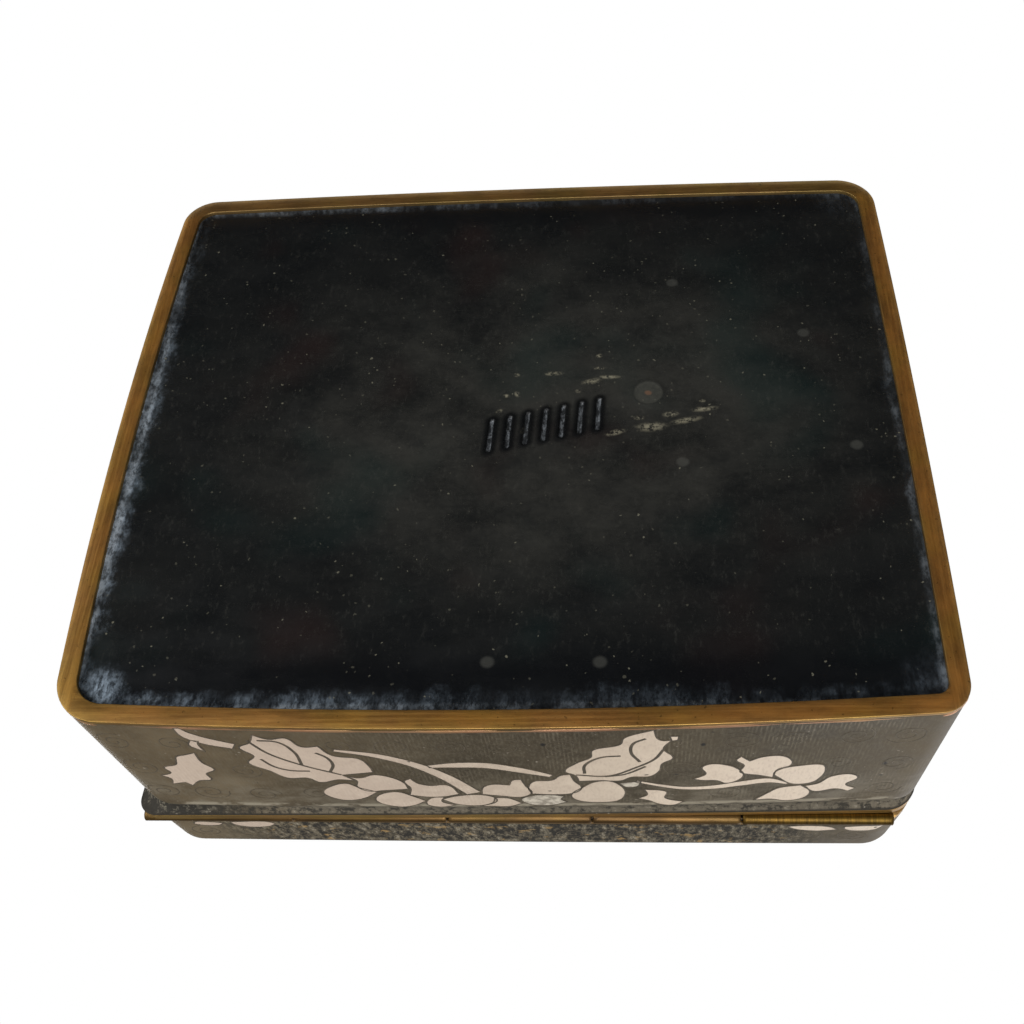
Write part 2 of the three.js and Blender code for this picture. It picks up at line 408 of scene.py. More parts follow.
def panel_level(point, from_edge):
    """Level of the underside: it climbs at the edge, waves slightly and is stamped in the middle."""
    climb = max(0.0, 1 - from_edge / MENISCUS_WIDTH)
    wave = 0.035 * MM * math.sin(point.x * 95 + 1) * math.sin(point.y * 120 + 2)
    ripple = 0.015 * MM * math.sin(point.x * 410 + 60 * point.y) * math.sin(point.y * 370 + 2)
    scar = (point - SCAR_CENTRE).length
    scar_edge = 0.07 * MM * math.exp(-((scar - SCAR_RADIUS) / (0.3 * MM)) ** 2)
    level = panel_low.z - MENISCUS_RISE * climb ** 2.2 + wave + ripple - scar_edge
    if (point - MARK_CENTRE).length < MARK_REACH:
        reach = stroke_distance(point)
        level += STROKE_DEPTH * max(0.0, 1 - (reach / STROKE_RADIUS) ** 2)
        level -= STROKE_LIP * math.exp(-((reach - 1.45 * STROKE_RADIUS) / (0.5 * STROKE_RADIUS)) ** 2)
    return level


def base_mesh():
    """Points and faces of the panel: rings along its edge, a coarse grid, and a fine one at the mark."""
    spots, depths = [], []
    rim_count = len(outline(foot_plan))
    for step in MENISCUS_STEPS:
        spots += outline(foot_plan, -WALL - step * MM)
        depths += [step * MM] * rim_count
    reach_x = BODY_WIDTH / 2 - WALL - GRID_INSET
    reach_y = BODY_DEPTH / 2 - WALL - GRID_INSET
    for i in range(int(2 * reach_x / COARSE_STEP) + 1):
        for j in range(int(2 * reach_y / COARSE_STEP) + 1):
            spot = Vector((i * COARSE_STEP - reach_x, j * COARSE_STEP - reach_y))
            local = in_mark(spot)
            if abs(local.x) > MARK_HALF.x + MARK_CLEAR or abs(local.y) > MARK_HALF.y + MARK_CLEAR:
                spots.append(spot)
    for i in range(int(2 * MARK_HALF.x / FINE_STEP) + 1):
        for j in range(int(2 * MARK_HALF.y / FINE_STEP) + 1):
            local = Vector((i * FINE_STEP - MARK_HALF.x, j * FINE_STEP - MARK_HALF.y))
            spots.append(MARK_CENTRE + Matrix.Rotation(MARK_TURN, 2) @ local)
    for turn in range(SCAR_TURNS):
        a = 2 * math.pi * turn / SCAR_TURNS
        heading = Vector((math.cos(a), math.sin(a)))
        spots += [SCAR_CENTRE + heading * reach * MM for reach in SCAR_RINGS]
    edges = [(i, (i + 1) % rim_count) for i in range(rim_count)]
    flat, _, faces, *_ = delaunay_2d_cdt(spots, edges, [list(range(rim_count))], 1, 1e-7)
    depths += [FAR_FROM_EDGE] * (len(flat) - len(depths))
    points = [Vector((p.x, p.y, panel_level(p, d))) for p, d in zip(flat, depths)]
    count = len(points)
    points += [Vector((p.x, p.y, panel_high.z)) for p in flat[:rim_count]]
    shape = [tuple(reversed(face)) for face in faces]
    shape += [(i, j, j + count, i + count) for i, j in edges]
    shape.append(tuple(range(count, count + rim_count)))
    return points, shape


base_panel = piece_from("base_enamel_panel", *base_mesh(), "box_body", "base_enamel")
crease(base_panel, 60)
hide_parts("base_panel")


def make_dust():
    """Dust and pits on enamel: pale specks, cloudy dirt and dark pinholes, each as a mask."""
    tree, given, result = group(
        "enamel_dust",
        [("Speck Scale", FLOAT, 900.0), ("Cloud Scale", FLOAT, 60.0), ("Speck Share", FLOAT, 0.1)],
        [("Specks", FLOAT), ("Clouds", FLOAT), ("Pinholes", FLOAT)],
    )
    wobble = put(tree, "ShaderNodeTexNoise", None, Vector=place(tree), Scale=1800.0, Detail=2.0)
    shaken = put(tree, "ShaderNodeVectorMath", {"operation": "SCALE"}, _0=wobble.outputs["Color"],
                 Scale=0.6 * MM).outputs["Vector"]
    spot = put(tree, "ShaderNodeVectorMath", {"operation": "ADD"}, _0=place(tree), _1=shaken)
    cells = put(tree, "ShaderNodeTexVoronoi", {"feature": "F1"}, Vector=spot.outputs["Vector"],
                Scale=given.outputs["Speck Scale"])
    size = put(tree, "ShaderNodeSeparateColor", None, Color=cells.outputs["Color"])
    gather = between(tree, noise(tree, place(tree), 90.0, 4.0, 0.6), 0.35, 0.7, 0.3, 2.2)
    dot = maths(tree, "SUBTRACT", maths(tree, "MULTIPLY", size.outputs[0], 0.36), cells.outputs["Distance"])
    share = maths(tree, "MULTIPLY", given.outputs["Speck Share"], gather)
    chosen = maths(tree, "LESS_THAN", size.outputs[1], share)
    shade = maths(tree, "MULTIPLY", between(tree, dot, -0.02, 0.12), chosen)
    shade = maths(tree, "MULTIPLY", shade, between(tree, size.outputs[2], 0.0, 1.0, 0.35, 1.0))
    tree.links.new(shade, result.inputs["Specks"])
    cloud = noise(tree, place(tree), given.outputs["Cloud Scale"], 6.0, 0.66)
    tree.links.new(between(tree, cloud, 0.5, 0.75), result.inputs["Clouds"])
    holes = put(tree, "ShaderNodeTexVoronoi", {"feature": "F1"}, Vector=spot.outputs["Vector"], Scale=330.0)
    hole_size = put(tree, "ShaderNodeSeparateColor", None, Color=holes.outputs["Color"])
    hole = maths(tree, "SUBTRACT", 0.11, holes.outputs["Distance"])
    hole_chosen = maths(tree, "GREATER_THAN", hole_size.outputs[2], 0.93)
    hole = maths(tree, "MULTIPLY", between(tree, hole, 0.0, 0.05), hole_chosen)
    tree.links.new(hole, result.inputs["Pinholes"])
    return tree


dust = make_dust()


def patch(tree, centre, reach, turn=0.0, soft=0.35):
    """Mask of an oval patch of the base, given by its centre, its half lengths and its turn in degrees."""
    where = put(tree, "ShaderNodeTexCoord").outputs["Object"]
    seen = put(tree, "ShaderNodeMapping", {"vector_type": "TEXTURE"}, Vector=where,
               Location=(centre[0] * MM, centre[1] * MM, 0), Rotation=(0, 0, math.radians(turn)),
               Scale=(reach[0] * MM, reach[1] * MM, 1000))
    length = put(tree, "ShaderNodeVectorMath", {"operation": "LENGTH"}, _0=seen.outputs["Vector"])
    return between(tree, length.outputs["Value"], 1.0, soft)


DRIED_DIRT = [
    ((5.7, -8.6), (2.0, 0.55), -2), ((11.7, -6.8), (2.1, 0.75), -12), ((14.4, -7.6), (2.6, 0.5), 2),
    ((9.6, -4.9), (0.6, 0.5), 11), ((0.0, -8.5), (0.7, 0.5), 11), ((-1.5, -4.3), (0.7, 0.5), 2),
    ((0.2, -4.6), (0.6, 0.8), -32), ((12.9, -9.5), (1.5, 0.4), 2), ((20.6, 2.5), (3.3, 1.15), -4),
    ((26.0, 1.4), (3.2, 0.75), -11), ((15.2, 3.4), (2.2, 0.7), -14), ((28.8, -0.7), (2.7, 0.65), -6),
    ((23.7, 0.1), (1.6, 0.8), -8), ((18.9, 0.7), (1.1, 0.6), 2), ((28.6, -2.3), (0.7, 0.4), 2),
    ((12.9, -12.0), (0.7, 0.6), -32), ((-2.5, -1.2), (0.8, 0.5), -44), ((1.5, 2.4), (0.55, 1.6), 30),
]
PALE_SPOTS = [(25, -27.6), (45.2, -15.7), (50.7, 6.8), (-2.3, 41.7), (12.7, 41.9), (25.1, 9.2)]


def distance_to(tree, centre, scale=(1, 1, 1)):
    """Distance from a point, in metres, with the object coordinates stretched by a scale."""
    return put(tree, "ShaderNodeVectorMath", {"operation": "DISTANCE"}, _0=place(tree, scale),
               _1=centre).outputs["Value"]


def stamped_row(tree):
    """Mask of the stamped strokes on the base, and a wider mask round them for painted shadow."""
    local = put(tree, "ShaderNodeMapping", {"vector_type": "TEXTURE"},
                Vector=put(tree, "ShaderNodeTexCoord").outputs["Object"],
                Location=(*MARK_CENTRE, 0), Rotation=(0, 0, MARK_TURN))
    seen = put(tree, "ShaderNodeSeparateXYZ", None, Vector=local.outputs["Vector"])
    slid = maths(tree, "MULTIPLY_ADD", seen.outputs["Y"], math.tan(STROKE_SLANT), seen.outputs["X"])
    off = maths(tree, "PINGPONG", slid, STROKE_PITCH / 2)
    off = maths(tree, "MULTIPLY", off, math.cos(STROKE_SLANT))
    past = maths(tree, "SUBTRACT", maths(tree, "ABSOLUTE", seen.outputs["Y"]),
                 STROKE_LENGTH / 2 * math.cos(STROKE_SLANT))
    past = maths(tree, "MAXIMUM", past, 0.0)
    reach = maths(tree, "ADD", maths(tree, "POWER", off, 2.0), maths(tree, "POWER", past, 2.0))
    reach = maths(tree, "SQRT", reach)
    row_end = between(tree, maths(tree, "ABSOLUTE", slid), (STROKES / 2 + 0.1) * STROKE_PITCH,
                      STROKES / 2 * STROKE_PITCH)
    strokes = between(tree, reach, 0.9 * STROKE_RADIUS, 0.45 * STROKE_RADIUS)
    stroke_shadow = between(tree, reach, 3.4 * STROKE_RADIUS, 1.3 * STROKE_RADIUS)
    return maths(tree, "MULTIPLY", strokes, row_end), maths(tree, "MULTIPLY", stroke_shadow, row_end)


def black_enamel():
    """Black counter-enamel with dust, dried dirt, a scar and the stamped row, and painted light and shade: a
    bluish painted reflection and highlight on its edges, a painted pool of light in the middle, painted shade
    near the back and front edges and round the strokes, and painted glints on them.
    """
    made, tree, shader = finish_of("base_enamel_black")
    where = axes(tree)
    across = where["X"]
    along = where["Y"]
    ragged = noise(tree, place(tree), 260.0, 4.0, 0.7)
    shaken = maths(tree, "MULTIPLY", maths(tree, "SUBTRACT", ragged, 0.5), 6.0 * MM)
    edges = [
        (maths(tree, "SUBTRACT", BODY_DEPTH / 2 + 1.1 * MM - FOOT_RIM_WIDTH, along), 3.6 * MM, 0.85),
        (maths(tree, "ADD", BODY_WIDTH / 2 + 0.8 * MM - FOOT_RIM_WIDTH, across), 2.6 * MM, 0.8),
        (maths(tree, "SUBTRACT", BODY_WIDTH / 2 + 0.3 * MM - FOOT_RIM_WIDTH, across), 1.5 * MM, 0.45),
        (maths(tree, "ADD", BODY_DEPTH / 2 + 0.4 * MM - FOOT_RIM_WIDTH, along), 0.7 * MM, 0.35),
    ]
    fades = between(tree, across, -48 * MM, 5 * MM, 1.0, 0.25)
    fades = maths(tree, "MULTIPLY", fades, between(tree, along, -30 * MM, 30 * MM, 0.4, 1.0))
    # The bluish colour along the edges and at three corners is painted reflection where the enamel climbs to
    # the rim; the pale line at the very edge is a painted highlight.
    painted_edge_reflection, painted_edge_highlight = 0.0, 0.0
    for distance, reach, strength in edges:
        painted_edge_reflection = maths(tree, "MAXIMUM", painted_edge_reflection,
                      between(tree, maths(tree, "ADD", distance, shaken), reach, -0.2 * MM, 0.0, strength))
        thin = between(tree, distance, 1.3 * MM, 0.4 * MM, 0.0, 0.9 * strength)
        painted_edge_highlight = maths(tree, "MAXIMUM", painted_edge_highlight, thin)
    for corner, strength in ((BACK_LEFT, 1.8), (BACK_RIGHT, 1.1), (FRONT_RIGHT, 1.4)):
        side_x, side_y = CORNER_SIGNS[corner]
        centre = (side_x * (BODY_WIDTH / 2 - 3 * MM), side_y * (BODY_DEPTH / 2 - 3 * MM), 0)
        nearness = maths(tree, "ADD", distance_to(tree, centre), shaken)
        painted_edge_reflection = maths(tree, "MAXIMUM", painted_edge_reflection, between(tree, nearness, 8 * MM, 0.5 * MM, 0.0, strength))
    grain = noise(tree, place(tree, (1, 0.45, 1)), 1500.0, 4.0, 0.75)
    patches = noise(tree, place(tree, (1, 0.5, 1)), 330.0, 3.0, 0.6)
    broken = maths(tree, "MULTIPLY", between(tree, grain, 0.36, 0.64, 0.15, 1.0),
                   between(tree, patches, 0.36, 0.64, 0.2, 1.0))
    broken = maths(tree, "MULTIPLY", broken, fades)
    painted_edge_reflection = maths(tree, "MULTIPLY", painted_edge_reflection, broken, clamp=True)
    painted_edge_highlight = maths(tree, "MULTIPLY", painted_edge_highlight, broken)
    marks = shared(tree, dust, Speck_Scale=1600.0, Cloud_Scale=45.0, Speck_Share=0.1)
    # Painted light: the base is painted lighter in a soft, mottled pool round its middle.
    middle = distance_to(tree, (5 * MM, -1 * MM, 0), (0.7, 1, 1))
    sheen_mottle = noise(tree, place(tree, (0.7, 1, 1)), 60.0, 11.0, 0.76)
    painted_light_pool = maths(tree, "MULTIPLY", between(tree, middle, 46 * MM, 14 * MM, 0.2, 1.0),
                between(tree, sheen_mottle, 0.3, 0.72, 0.1, 1.25))
    colour = blend_colour(tree, painted_light_pool, (0.004, 0.0048, 0.0055, 1), (0.03, 0.0295, 0.026, 1))
    tint = noise(tree, place(tree), 38.0, 2.0)
    colour = coat(tree, colour, between(tree, tint, 0.52, 0.72), 0.4, (0.005, 0.017, 0.016, 1))
    colour = coat(tree, colour, between(tree, tint, 0.45, 0.28), 0.4, (0.022, 0.01, 0.009, 1))
    colour = coat(tree, colour, between(tree, grain, 0.52, 0.78), 0.22, (0.08, 0.078, 0.068, 1))
    inner_edge = maths(tree, "SUBTRACT", BODY_DEPTH / 2 + 1.1 * MM - FOOT_RIM_WIDTH, along)
    outer_edge = maths(tree, "ADD", BODY_DEPTH / 2 - FOOT_RIM_WIDTH, along)
    shadow = maths(tree, "MAXIMUM", between(tree, inner_edge, 11 * MM, 5 * MM),
                   between(tree, outer_edge, 7 * MM, 1 * MM))
    colour = coat(tree, colour, shadow, 0.85, (0.003, 0.0035, 0.0045, 1))
    colour = blend_colour(tree, painted_edge_reflection, colour, (0.25, 0.31, 0.375, 1))
    colour = blend_colour(tree, painted_edge_highlight, colour, (0.5, 0.56, 0.62, 1))
    rough_spots = noise(tree, place(tree), 1500.0, 5.0, 0.72)
    dirt = 0.0
    for centre, reach, turn in DRIED_DIRT:
        dirt = maths(tree, "MAXIMUM", dirt, patch(tree, centre, reach, turn, 0.1))
    dirt = maths(tree, "MULTIPLY", dirt, between(tree, rough_spots, 0.42, 0.58))
    colour = coat(tree, colour, dirt, 0.85, (0.24, 0.22, 0.155, 1))
    pale_spots = 0.0
    for centre in PALE_SPOTS:
        pale_spots = maths(tree, "MAXIMUM", pale_spots, patch(tree, centre, (1.2, 1.1), 0, 0.5))
    colour = coat(tree, colour, pale_spots, 0.25, (0.12, 0.12, 0.105, 1))
    scar_place = tuple(SCAR_CENTRE / MM)
    scar = patch(tree, scar_place, (SCAR_RADIUS / MM, SCAR_RADIUS / MM), 0, 0.82)
    scar_shade = between(tree, rough_spots, 0.35, 0.65, 0.4, 0.95)
    colour = coat(tree, colour, scar, scar_shade, (0.042, 0.042, 0.034, 1))
    copper_dot = patch(tree, scar_place, (0.75, 0.6), 20, 0.4)
    colour = blend_colour(tree, copper_dot, colour, (0.11, 0.062, 0.038, 1))
    colour = coat(tree, colour, marks["Specks"], 0.6, (0.2, 0.19, 0.14, 1))
    # Round the strokes the base is painted near black as painted shadow, and the strokes a broken lighter
    # grey-blue as painted glints.
    strokes, stroke_shadow = stamped_row(tree)
    colour = coat(tree, colour, stroke_shadow, 0.9, (0.002, 0.0024, 0.003, 1))
    glints = between(tree, grain, 0.42, 0.66, 0.1, 1.0)
    colour = coat(tree, colour, strokes, glints, (0.15, 0.162, 0.175, 1))
    tree.links.new(colour, shader.inputs["Base Color"])
    smear = noise(tree, place(tree, (1, 2.4, 1)), 70.0, 4.0, 0.6)
    rough = maths(tree, "MULTIPLY_ADD", painted_edge_reflection, 0.4, between(tree, smear, 0.3, 0.72, 0.2, 0.36))
    rough = maths(tree, "MULTIPLY_ADD", maths(tree, "MAXIMUM", dirt, scar), 0.3, rough)
    tree.links.new(rough, shader.inputs["Roughness"])
    bump_into(tree, shader, noise(tree, place(tree), 900.0, 3.0), 0.16, 0.06 * MM)
    return made


base_panel.data.materials.append(black_enamel())

# Body wall. One band of sheet copper with enamel fired on both faces. Its sides bow out a little, and
# under the mouth they dip into a cove and flare to carry the brass rim and the hinge.
wall_low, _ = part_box("body_wall")
WALL_STEPS = 12
WALL_TUCK = 0.05 * MM
COVE_START = 31 * MM
COVE_DIP = 0.45 * MM
MOUTH_FLARE = 0.35 * MM
COVE_STEPS = 12
cove_plan = {**foot_plan, "bows": [0.5 * MM, 0.45 * MM, 0.75 * MM, 0.7 * MM]}
mouth_plan = {
    **foot_plan,
    "width": BODY_WIDTH + 2 * MOUTH_FLARE,
    "depth": BODY_DEPTH + 2 * MOUTH_FLARE,
    "radii": [5.5 * MM, 6.2 * MM, 5.2 * MM, 3 * MM],
    "bows": [0.3 * MM] * 4,
}
mouth_low, mouth_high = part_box("body_mouth_rim")
HORN_REACH = 0.55 * MM
HORN_WIDTH = 6 * MM
HORN_HEADING = Vector((-1, 0.08))


def with_horn(points, share=1.0):
    """An outline with its back left corner drawn out to a small horn."""
    tip = Vector((-mouth_plan["width"] / 2, mouth_plan["depth"] / 2))
    drawn = []
    for p in points:
        pull = HORN_REACH * share * math.exp(-((p - tip).length / HORN_WIDTH) ** 2)
        drawn.append(p + HORN_HEADING * pull)
    return drawn


def wall_rings():
    """Rings of the wall: down its inside, out over the foot rim, and up its outside to the flared mouth."""
    rows = [ring(outline(cove_plan, -WALL), mouth_low.z)]
    rows.append(ring(outline(foot_plan, -WALL), wall_low.z))
    rows.append(ring(outline(foot_plan, -WALL_TUCK), foot_high.z))
    foot = outline(foot_plan)
    cove = outline(cove_plan)
    for step in range(WALL_STEPS + 1):
        share = step / WALL_STEPS
        rows.append(ring(blended(foot, cove, share), foot_high.z + (COVE_START - foot_high.z) * share))
    for step in range(1, COVE_STEPS + 1):
        share = step / COVE_STEPS
        dip = -COVE_DIP * math.sin(math.pi * share)
        points = blended(outline(cove_plan, dip), outline(mouth_plan, dip), share ** 3)
        rows.append(ring(with_horn(points, share ** 5), COVE_START + share * (mouth_low.z - COVE_START)))
    return rows


body_wall = piece_from("body_wall_enamel", *skin(wall_rings(), True), "box_body", "ground_enamel")
crease(body_wall, 60)
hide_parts("body_wall")


GRIND_PITCH = 0.56 * MM


def make_hatching():
    """Mask of the fine upright lines that grinding left, spaced along X at front and back, else along Y."""
    tree, given, result = group("ground_hatching", [("Line Pitch", FLOAT, GRIND_PITCH)], [("Lines", FLOAT)])
    where = axes(tree)
    normal = put(tree, "ShaderNodeTexCoord").outputs["Normal"]
    facing = put(tree, "ShaderNodeSeparateXYZ", None, Vector=normal)
    sideways = maths(tree, "GREATER_THAN", maths(tree, "ABSOLUTE", facing.outputs["X"]), 0.7)
    along = put(tree, "ShaderNodeMix", {"data_type": "FLOAT"}, _0=sideways, _2=where["X"],
                _3=where["Y"]).outputs[0]
    shake = maths(tree, "MULTIPLY", noise(tree, place(tree, (1, 1, 0.05)), 300.0, 2.0), 0.7 * MM)
    phase = maths(tree, "DIVIDE", maths(tree, "ADD", along, shake), given.outputs["Line Pitch"])
    wave = maths(tree, "SINE", maths(tree, "MULTIPLY", phase, 2 * math.pi))
    strength = between(tree, noise(tree, place(tree), 110.0, 4.0, 0.6), 0.38, 0.66)
    broken = noise(tree, place(tree, (1, 1, 0.5)), 1500.0, 2.0, 0.6)
    wave = maths(tree, "MULTIPLY", between(tree, wave, -0.4, 1.0), between(tree, broken, 0.35, 0.6))
    wave = maths(tree, "MULTIPLY", wave, strength)
    tree.links.new(wave, result.inputs["Lines"])
    return tree


hatching = make_hatching()
WALL_PITS = [(5.0, 5.7), (26.1, 6.9), (51.6, 16.3)]


def wall_pits(tree):
    """Mask of three burst bubbles in the enamel of the back wall."""
    pits = 0.0
    for across, up in WALL_PITS:
        away = distance_to(tree, (across * MM, 0, 0.6 * up * MM), (1, 0, 0.6))
        pits = maths(tree, "MAXIMUM", pits, between(tree, away, 0.48 * MM, 0.15 * MM))
    return maths(tree, "MULTIPLY", pits, maths(tree, "GREATER_THAN", axes(tree)["Y"], 0.0))


def cove_grime_and_shade(tree, colour, where):
    """Grime and chalk in the cove, with painted shade darkening its left end under caked dirt, and a black
    line at the rim: colour and mask.
    """
    lower = between(tree, where["Z"], COVE_START - 0.3 * MM, COVE_START + 0.5 * MM)
    upper = between(tree, where["Z"], mouth_low.z + 0.1 * MM, mouth_low.z - 0.4 * MM)
    grime = noise(tree, place(tree, (0.9, 0.9, 0.7)), 1000.0, 5.0, 0.75)
    in_cove = maths(tree, "MULTIPLY", lower, upper)
    light_part = between(tree, where["X"], -50 * MM, -30 * MM, 0.0, 0.6)
    colour = coat(tree, colour, in_cove, light_part, (0.115, 0.1, 0.076, 1))
    # Painted shade: the left end of the cove, under the flare, is painted near black; caked dirt is laid over
    # it.
    left_end_shade_and_grime = maths(tree, "MULTIPLY", lower, between(tree, where["X"], -34 * MM, -52 * MM, 0.0, 0.95))
    colour = blend_colour(tree, left_end_shade_and_grime, colour, (0.012, 0.011, 0.0085, 1))
    soot = between(tree, grime, 0.52, 0.4, 0.0, 0.9)
    colour = coat(tree, colour, in_cove, soot, (0.018, 0.016, 0.012, 1))
    caked = between(tree, grime, 0.5, 0.6, 0.0, 0.6)
    colour = coat(tree, colour, left_end_shade_and_grime, caked, (0.13, 0.115, 0.085, 1))
    chalk = between(tree, grime, 0.58, 0.7, 0.0, 0.6)
    colour = coat(tree, colour, in_cove, chalk, (0.26, 0.235, 0.185, 1))
    seam_dirt = between(tree, where["Z"], mouth_low.z - 0.6 * MM, mouth_low.z - 0.15 * MM)
    colour = coat(tree, colour, seam_dirt, 0.9, (0.012, 0.01, 0.007, 1))
    return colour, maths(tree, "MAXIMUM", left_end_shade_and_grime, in_cove)


def lid_dirt(tree, colour, where):
    """Black dirt with gilt and grey flecks, caked on the back of the lid by the hinge: colour and mask."""
    behind = between(tree, where["Y"], 40 * MM, 44 * MM)
    reach = noise(tree, place(tree), 90.0, 3.0)
    reach = maths(tree, "MULTIPLY_ADD", reach, 30 * MM, maths(tree, "ABSOLUTE", where["X"]))
    zone = maths(tree, "MULTIPLY", behind, between(tree, reach, 72 * MM, 54 * MM))
    zone = maths(tree, "MULTIPLY", zone, between(tree, where["Z"], 52 * MM, 48 * MM))
    flecks = noise(tree, place(tree, (1, 1, 0.4)), 900.0, 5.0, 0.78)
    colour = coat(tree, colour, zone, 0.5, (0.115, 0.1, 0.07, 1))
    soot = between(tree, flecks, 0.54, 0.45, 0.0, 0.95)
    colour = coat(tree, colour, zone, soot, (0.012, 0.011, 0.009, 1))
    grey = between(tree, flecks, 0.55, 0.64, 0.0, 0.7)
    colour = coat(tree, colour, zone, grey, (0.27, 0.24, 0.185, 1))
    gilding = noise(tree, place(tree, (0.4, 1, 0.6)), 800.0, 4.0, 0.7)
    gilt = between(tree, gilding, 0.59, 0.68, 0.0, 0.8)
    return coat(tree, colour, zone, gilt, (0.28, 0.18, 0.07, 1)), zone


def ground_enamel(name, overlay_of):
    """Grey-olive ground enamel: cloudy, hatched by grinding, pitted and dirty, with painted light making it
    lighter towards both ends.
    """
    made, tree, shader = finish_of(name)
    marks = shared(tree, dust, Speck_Scale=1700.0, Cloud_Scale=120.0, Speck_Share=0.07)
    lines = shared(tree, hatching, Line_Pitch=GRIND_PITCH)["Lines"]
    where = axes(tree)
    cloud = noise(tree, place(tree), 62.0, 5.0, 0.62)
    colour = blend_colour(tree, between(tree, cloud, 0.32, 0.7), (0.034, 0.0255, 0.0142, 1),
                          (0.063, 0.049, 0.0295, 1))
    # Painted light: the ground is painted up to nearly twice as light towards both ends.
    off_middle = maths(tree, "ABSOLUTE", maths(tree, "SUBTRACT", where["X"], 16 * MM))
    painted_light_at_ends = between(tree, off_middle, 20 * MM, 60 * MM)
    colour = blend_colour(tree, painted_light_at_ends, colour, (1.95, 1.88, 1.8, 1), "MULTIPLY")
    grain = noise(tree, place(tree, (1, 1, 0.35)), 2600.0, 3.0, 0.7)
    colour = coat(tree, colour, between(tree, grain, 0.4, 0.75), 0.55, (0.11, 0.095, 0.066, 1))
    ground_off = between(tree, where["X"], -45 * MM, 20 * MM, 0.15, 0.65)
    colour = coat(tree, colour, lines, ground_off, (0.15, 0.128, 0.09, 1))
    height_now = where["Z"]
    worn = noise(tree, place(tree, (0.6, 0.6, 1)), 260.0, 5.0, 0.68)
    rubbed = maths(tree, "MULTIPLY", between(tree, height_now, 15 * MM, 28 * MM),
                   between(tree, worn, 0.4, 0.66))
    rubbed = maths(tree, "MULTIPLY", rubbed, between(tree, height_now, 34 * MM, 31 * MM, 0.35, 1.0))
    colour = coat(tree, colour, rubbed, 0.55, (0.17, 0.148, 0.11, 1))
    scuff = maths(tree, "MULTIPLY", between(tree, height_now, 29.2 * MM, 30.2 * MM),
                  between(tree, height_now, 31.1 * MM, 30.5 * MM))
    scuff = maths(tree, "MULTIPLY", scuff, between(tree, worn, 0.42, 0.54))
    colour = coat(tree, colour, scuff, 0.8, (0.3, 0.265, 0.2, 1))
    pits = maths(tree, "MAXIMUM", maths(tree, "MULTIPLY", marks["Pinholes"], 0.85), wall_pits(tree))
    colour = blend_colour(tree, pits, colour, (0.01, 0.009, 0.008, 1))
    colour, dirt = overlay_of(tree, colour, where)
    colour = coat(tree, colour, marks["Specks"], 0.6, (0.3, 0.27, 0.22, 1))
    tree.links.new(colour, shader.inputs["Base Color"])
    rough = maths(tree, "MULTIPLY_ADD", dirt, 0.35, between(tree, cloud, 0.3, 0.7, 0.42, 0.6))
    tree.links.new(rough, shader.inputs["Roughness"])
    shader.inputs["Specular IOR Level"].default_value = 0.3
    relief = maths(tree, "MULTIPLY_ADD", lines, 0.5, grain)
    bump_into(tree, shader, relief, 0.22, 0.05 * MM)
    return made


def inside_enamel():
    """The black enamel inside the box and the lid, smoother and cleaner than the base."""
    made, tree, shader = finish_of("inside_enamel_black")
    marks = shared(tree, dust, Speck_Scale=900.0, Cloud_Scale=60.0, Speck_Share=0.05)
    colour = coat(tree, (0.006, 0.0075, 0.012, 1), marks["Clouds"], 0.25, (0.02, 0.024, 0.034, 1))
    colour = coat(tree, colour, marks["Specks"], 0.35, (0.12, 0.12, 0.11, 1))
    tree.links.new(colour, shader.inputs["Base Color"])
    smear = noise(tree, place(tree), 90.0, 4.0)
    tree.links.new(between(tree, smear, 0.3, 0.7, 0.14, 0.26), shader.inputs["Roughness"])
    bump_into(tree, shader, noise(tree, place(tree), 260.0, 3.0), 0.1, 0.1 * MM)
    return made


def faces_inwards(face):
    return face.normal.x * face.center.x + face.normal.y * face.center.y < 0


def line_inside(piece, is_inside):
    """Gives a piece the black inside enamel on the faces that lie inside the box."""
    piece.data.materials.append(inside)
    for face in piece.data.polygons:
        face.material_index = int(is_inside(face))


inside = inside_enamel()
body_wall.data.materials.append(ground_enamel("ground_enamel_grey", cove_grime_and_shade))
line_inside(body_wall, faces_inwards)
line_inside(base_panel, lambda face: face.normal.z > 0.5)

# Flowers of the back wall. Cells of pinkish white enamel, each held in its own bent copper wire, which
# was soldered upright on the wall and ground flush after the firing. Their outlines are in millimetres:
# the first number runs along the wall, towards +X at the back, and the second up from the foot.
CELL_LIFT = 0.035 * MM
WIRE_LIFT = 0.05 * MM
SET_DEPTH = 0.12 * MM
WIRE_WIDTH = 0.26
LINE_STEP = 0.4
SHARP_TURN = math.radians(76)
FILL_STEP = 1.6
FILL_CLEAR = 0.5
LONG_HALF = 57
SHORT_HALF = 47
GROUND_LOW = 1.6
GROUND_HIGH = 30.2
FRONT, RIGHT, BACK, LEFT = range(4)


def running_lengths(line):
    """How far each point of a closed line is along it, and its whole length at the end."""
    marks = [0.0]
    for here, after in zip(line, line[1:] + line[:1]):
        marks.append(marks[-1] + (after - here).length)
    return marks


def mark_of(marks, line, side, across):
    """Length along a plan's outline at which a side has this X, if it is the front or back, or this Y."""
    first = side * (CORNER_STEPS + SIDE_STEPS) + CORNER_STEPS
    middle = first + SIDE_STEPS // 2
    along_x = side in (FRONT, BACK)
    centre = line[middle].x if along_x else line[middle].y
    direction = 1 if side in (FRONT, RIGHT) else -1
    return marks[middle] + direction * (across - centre)


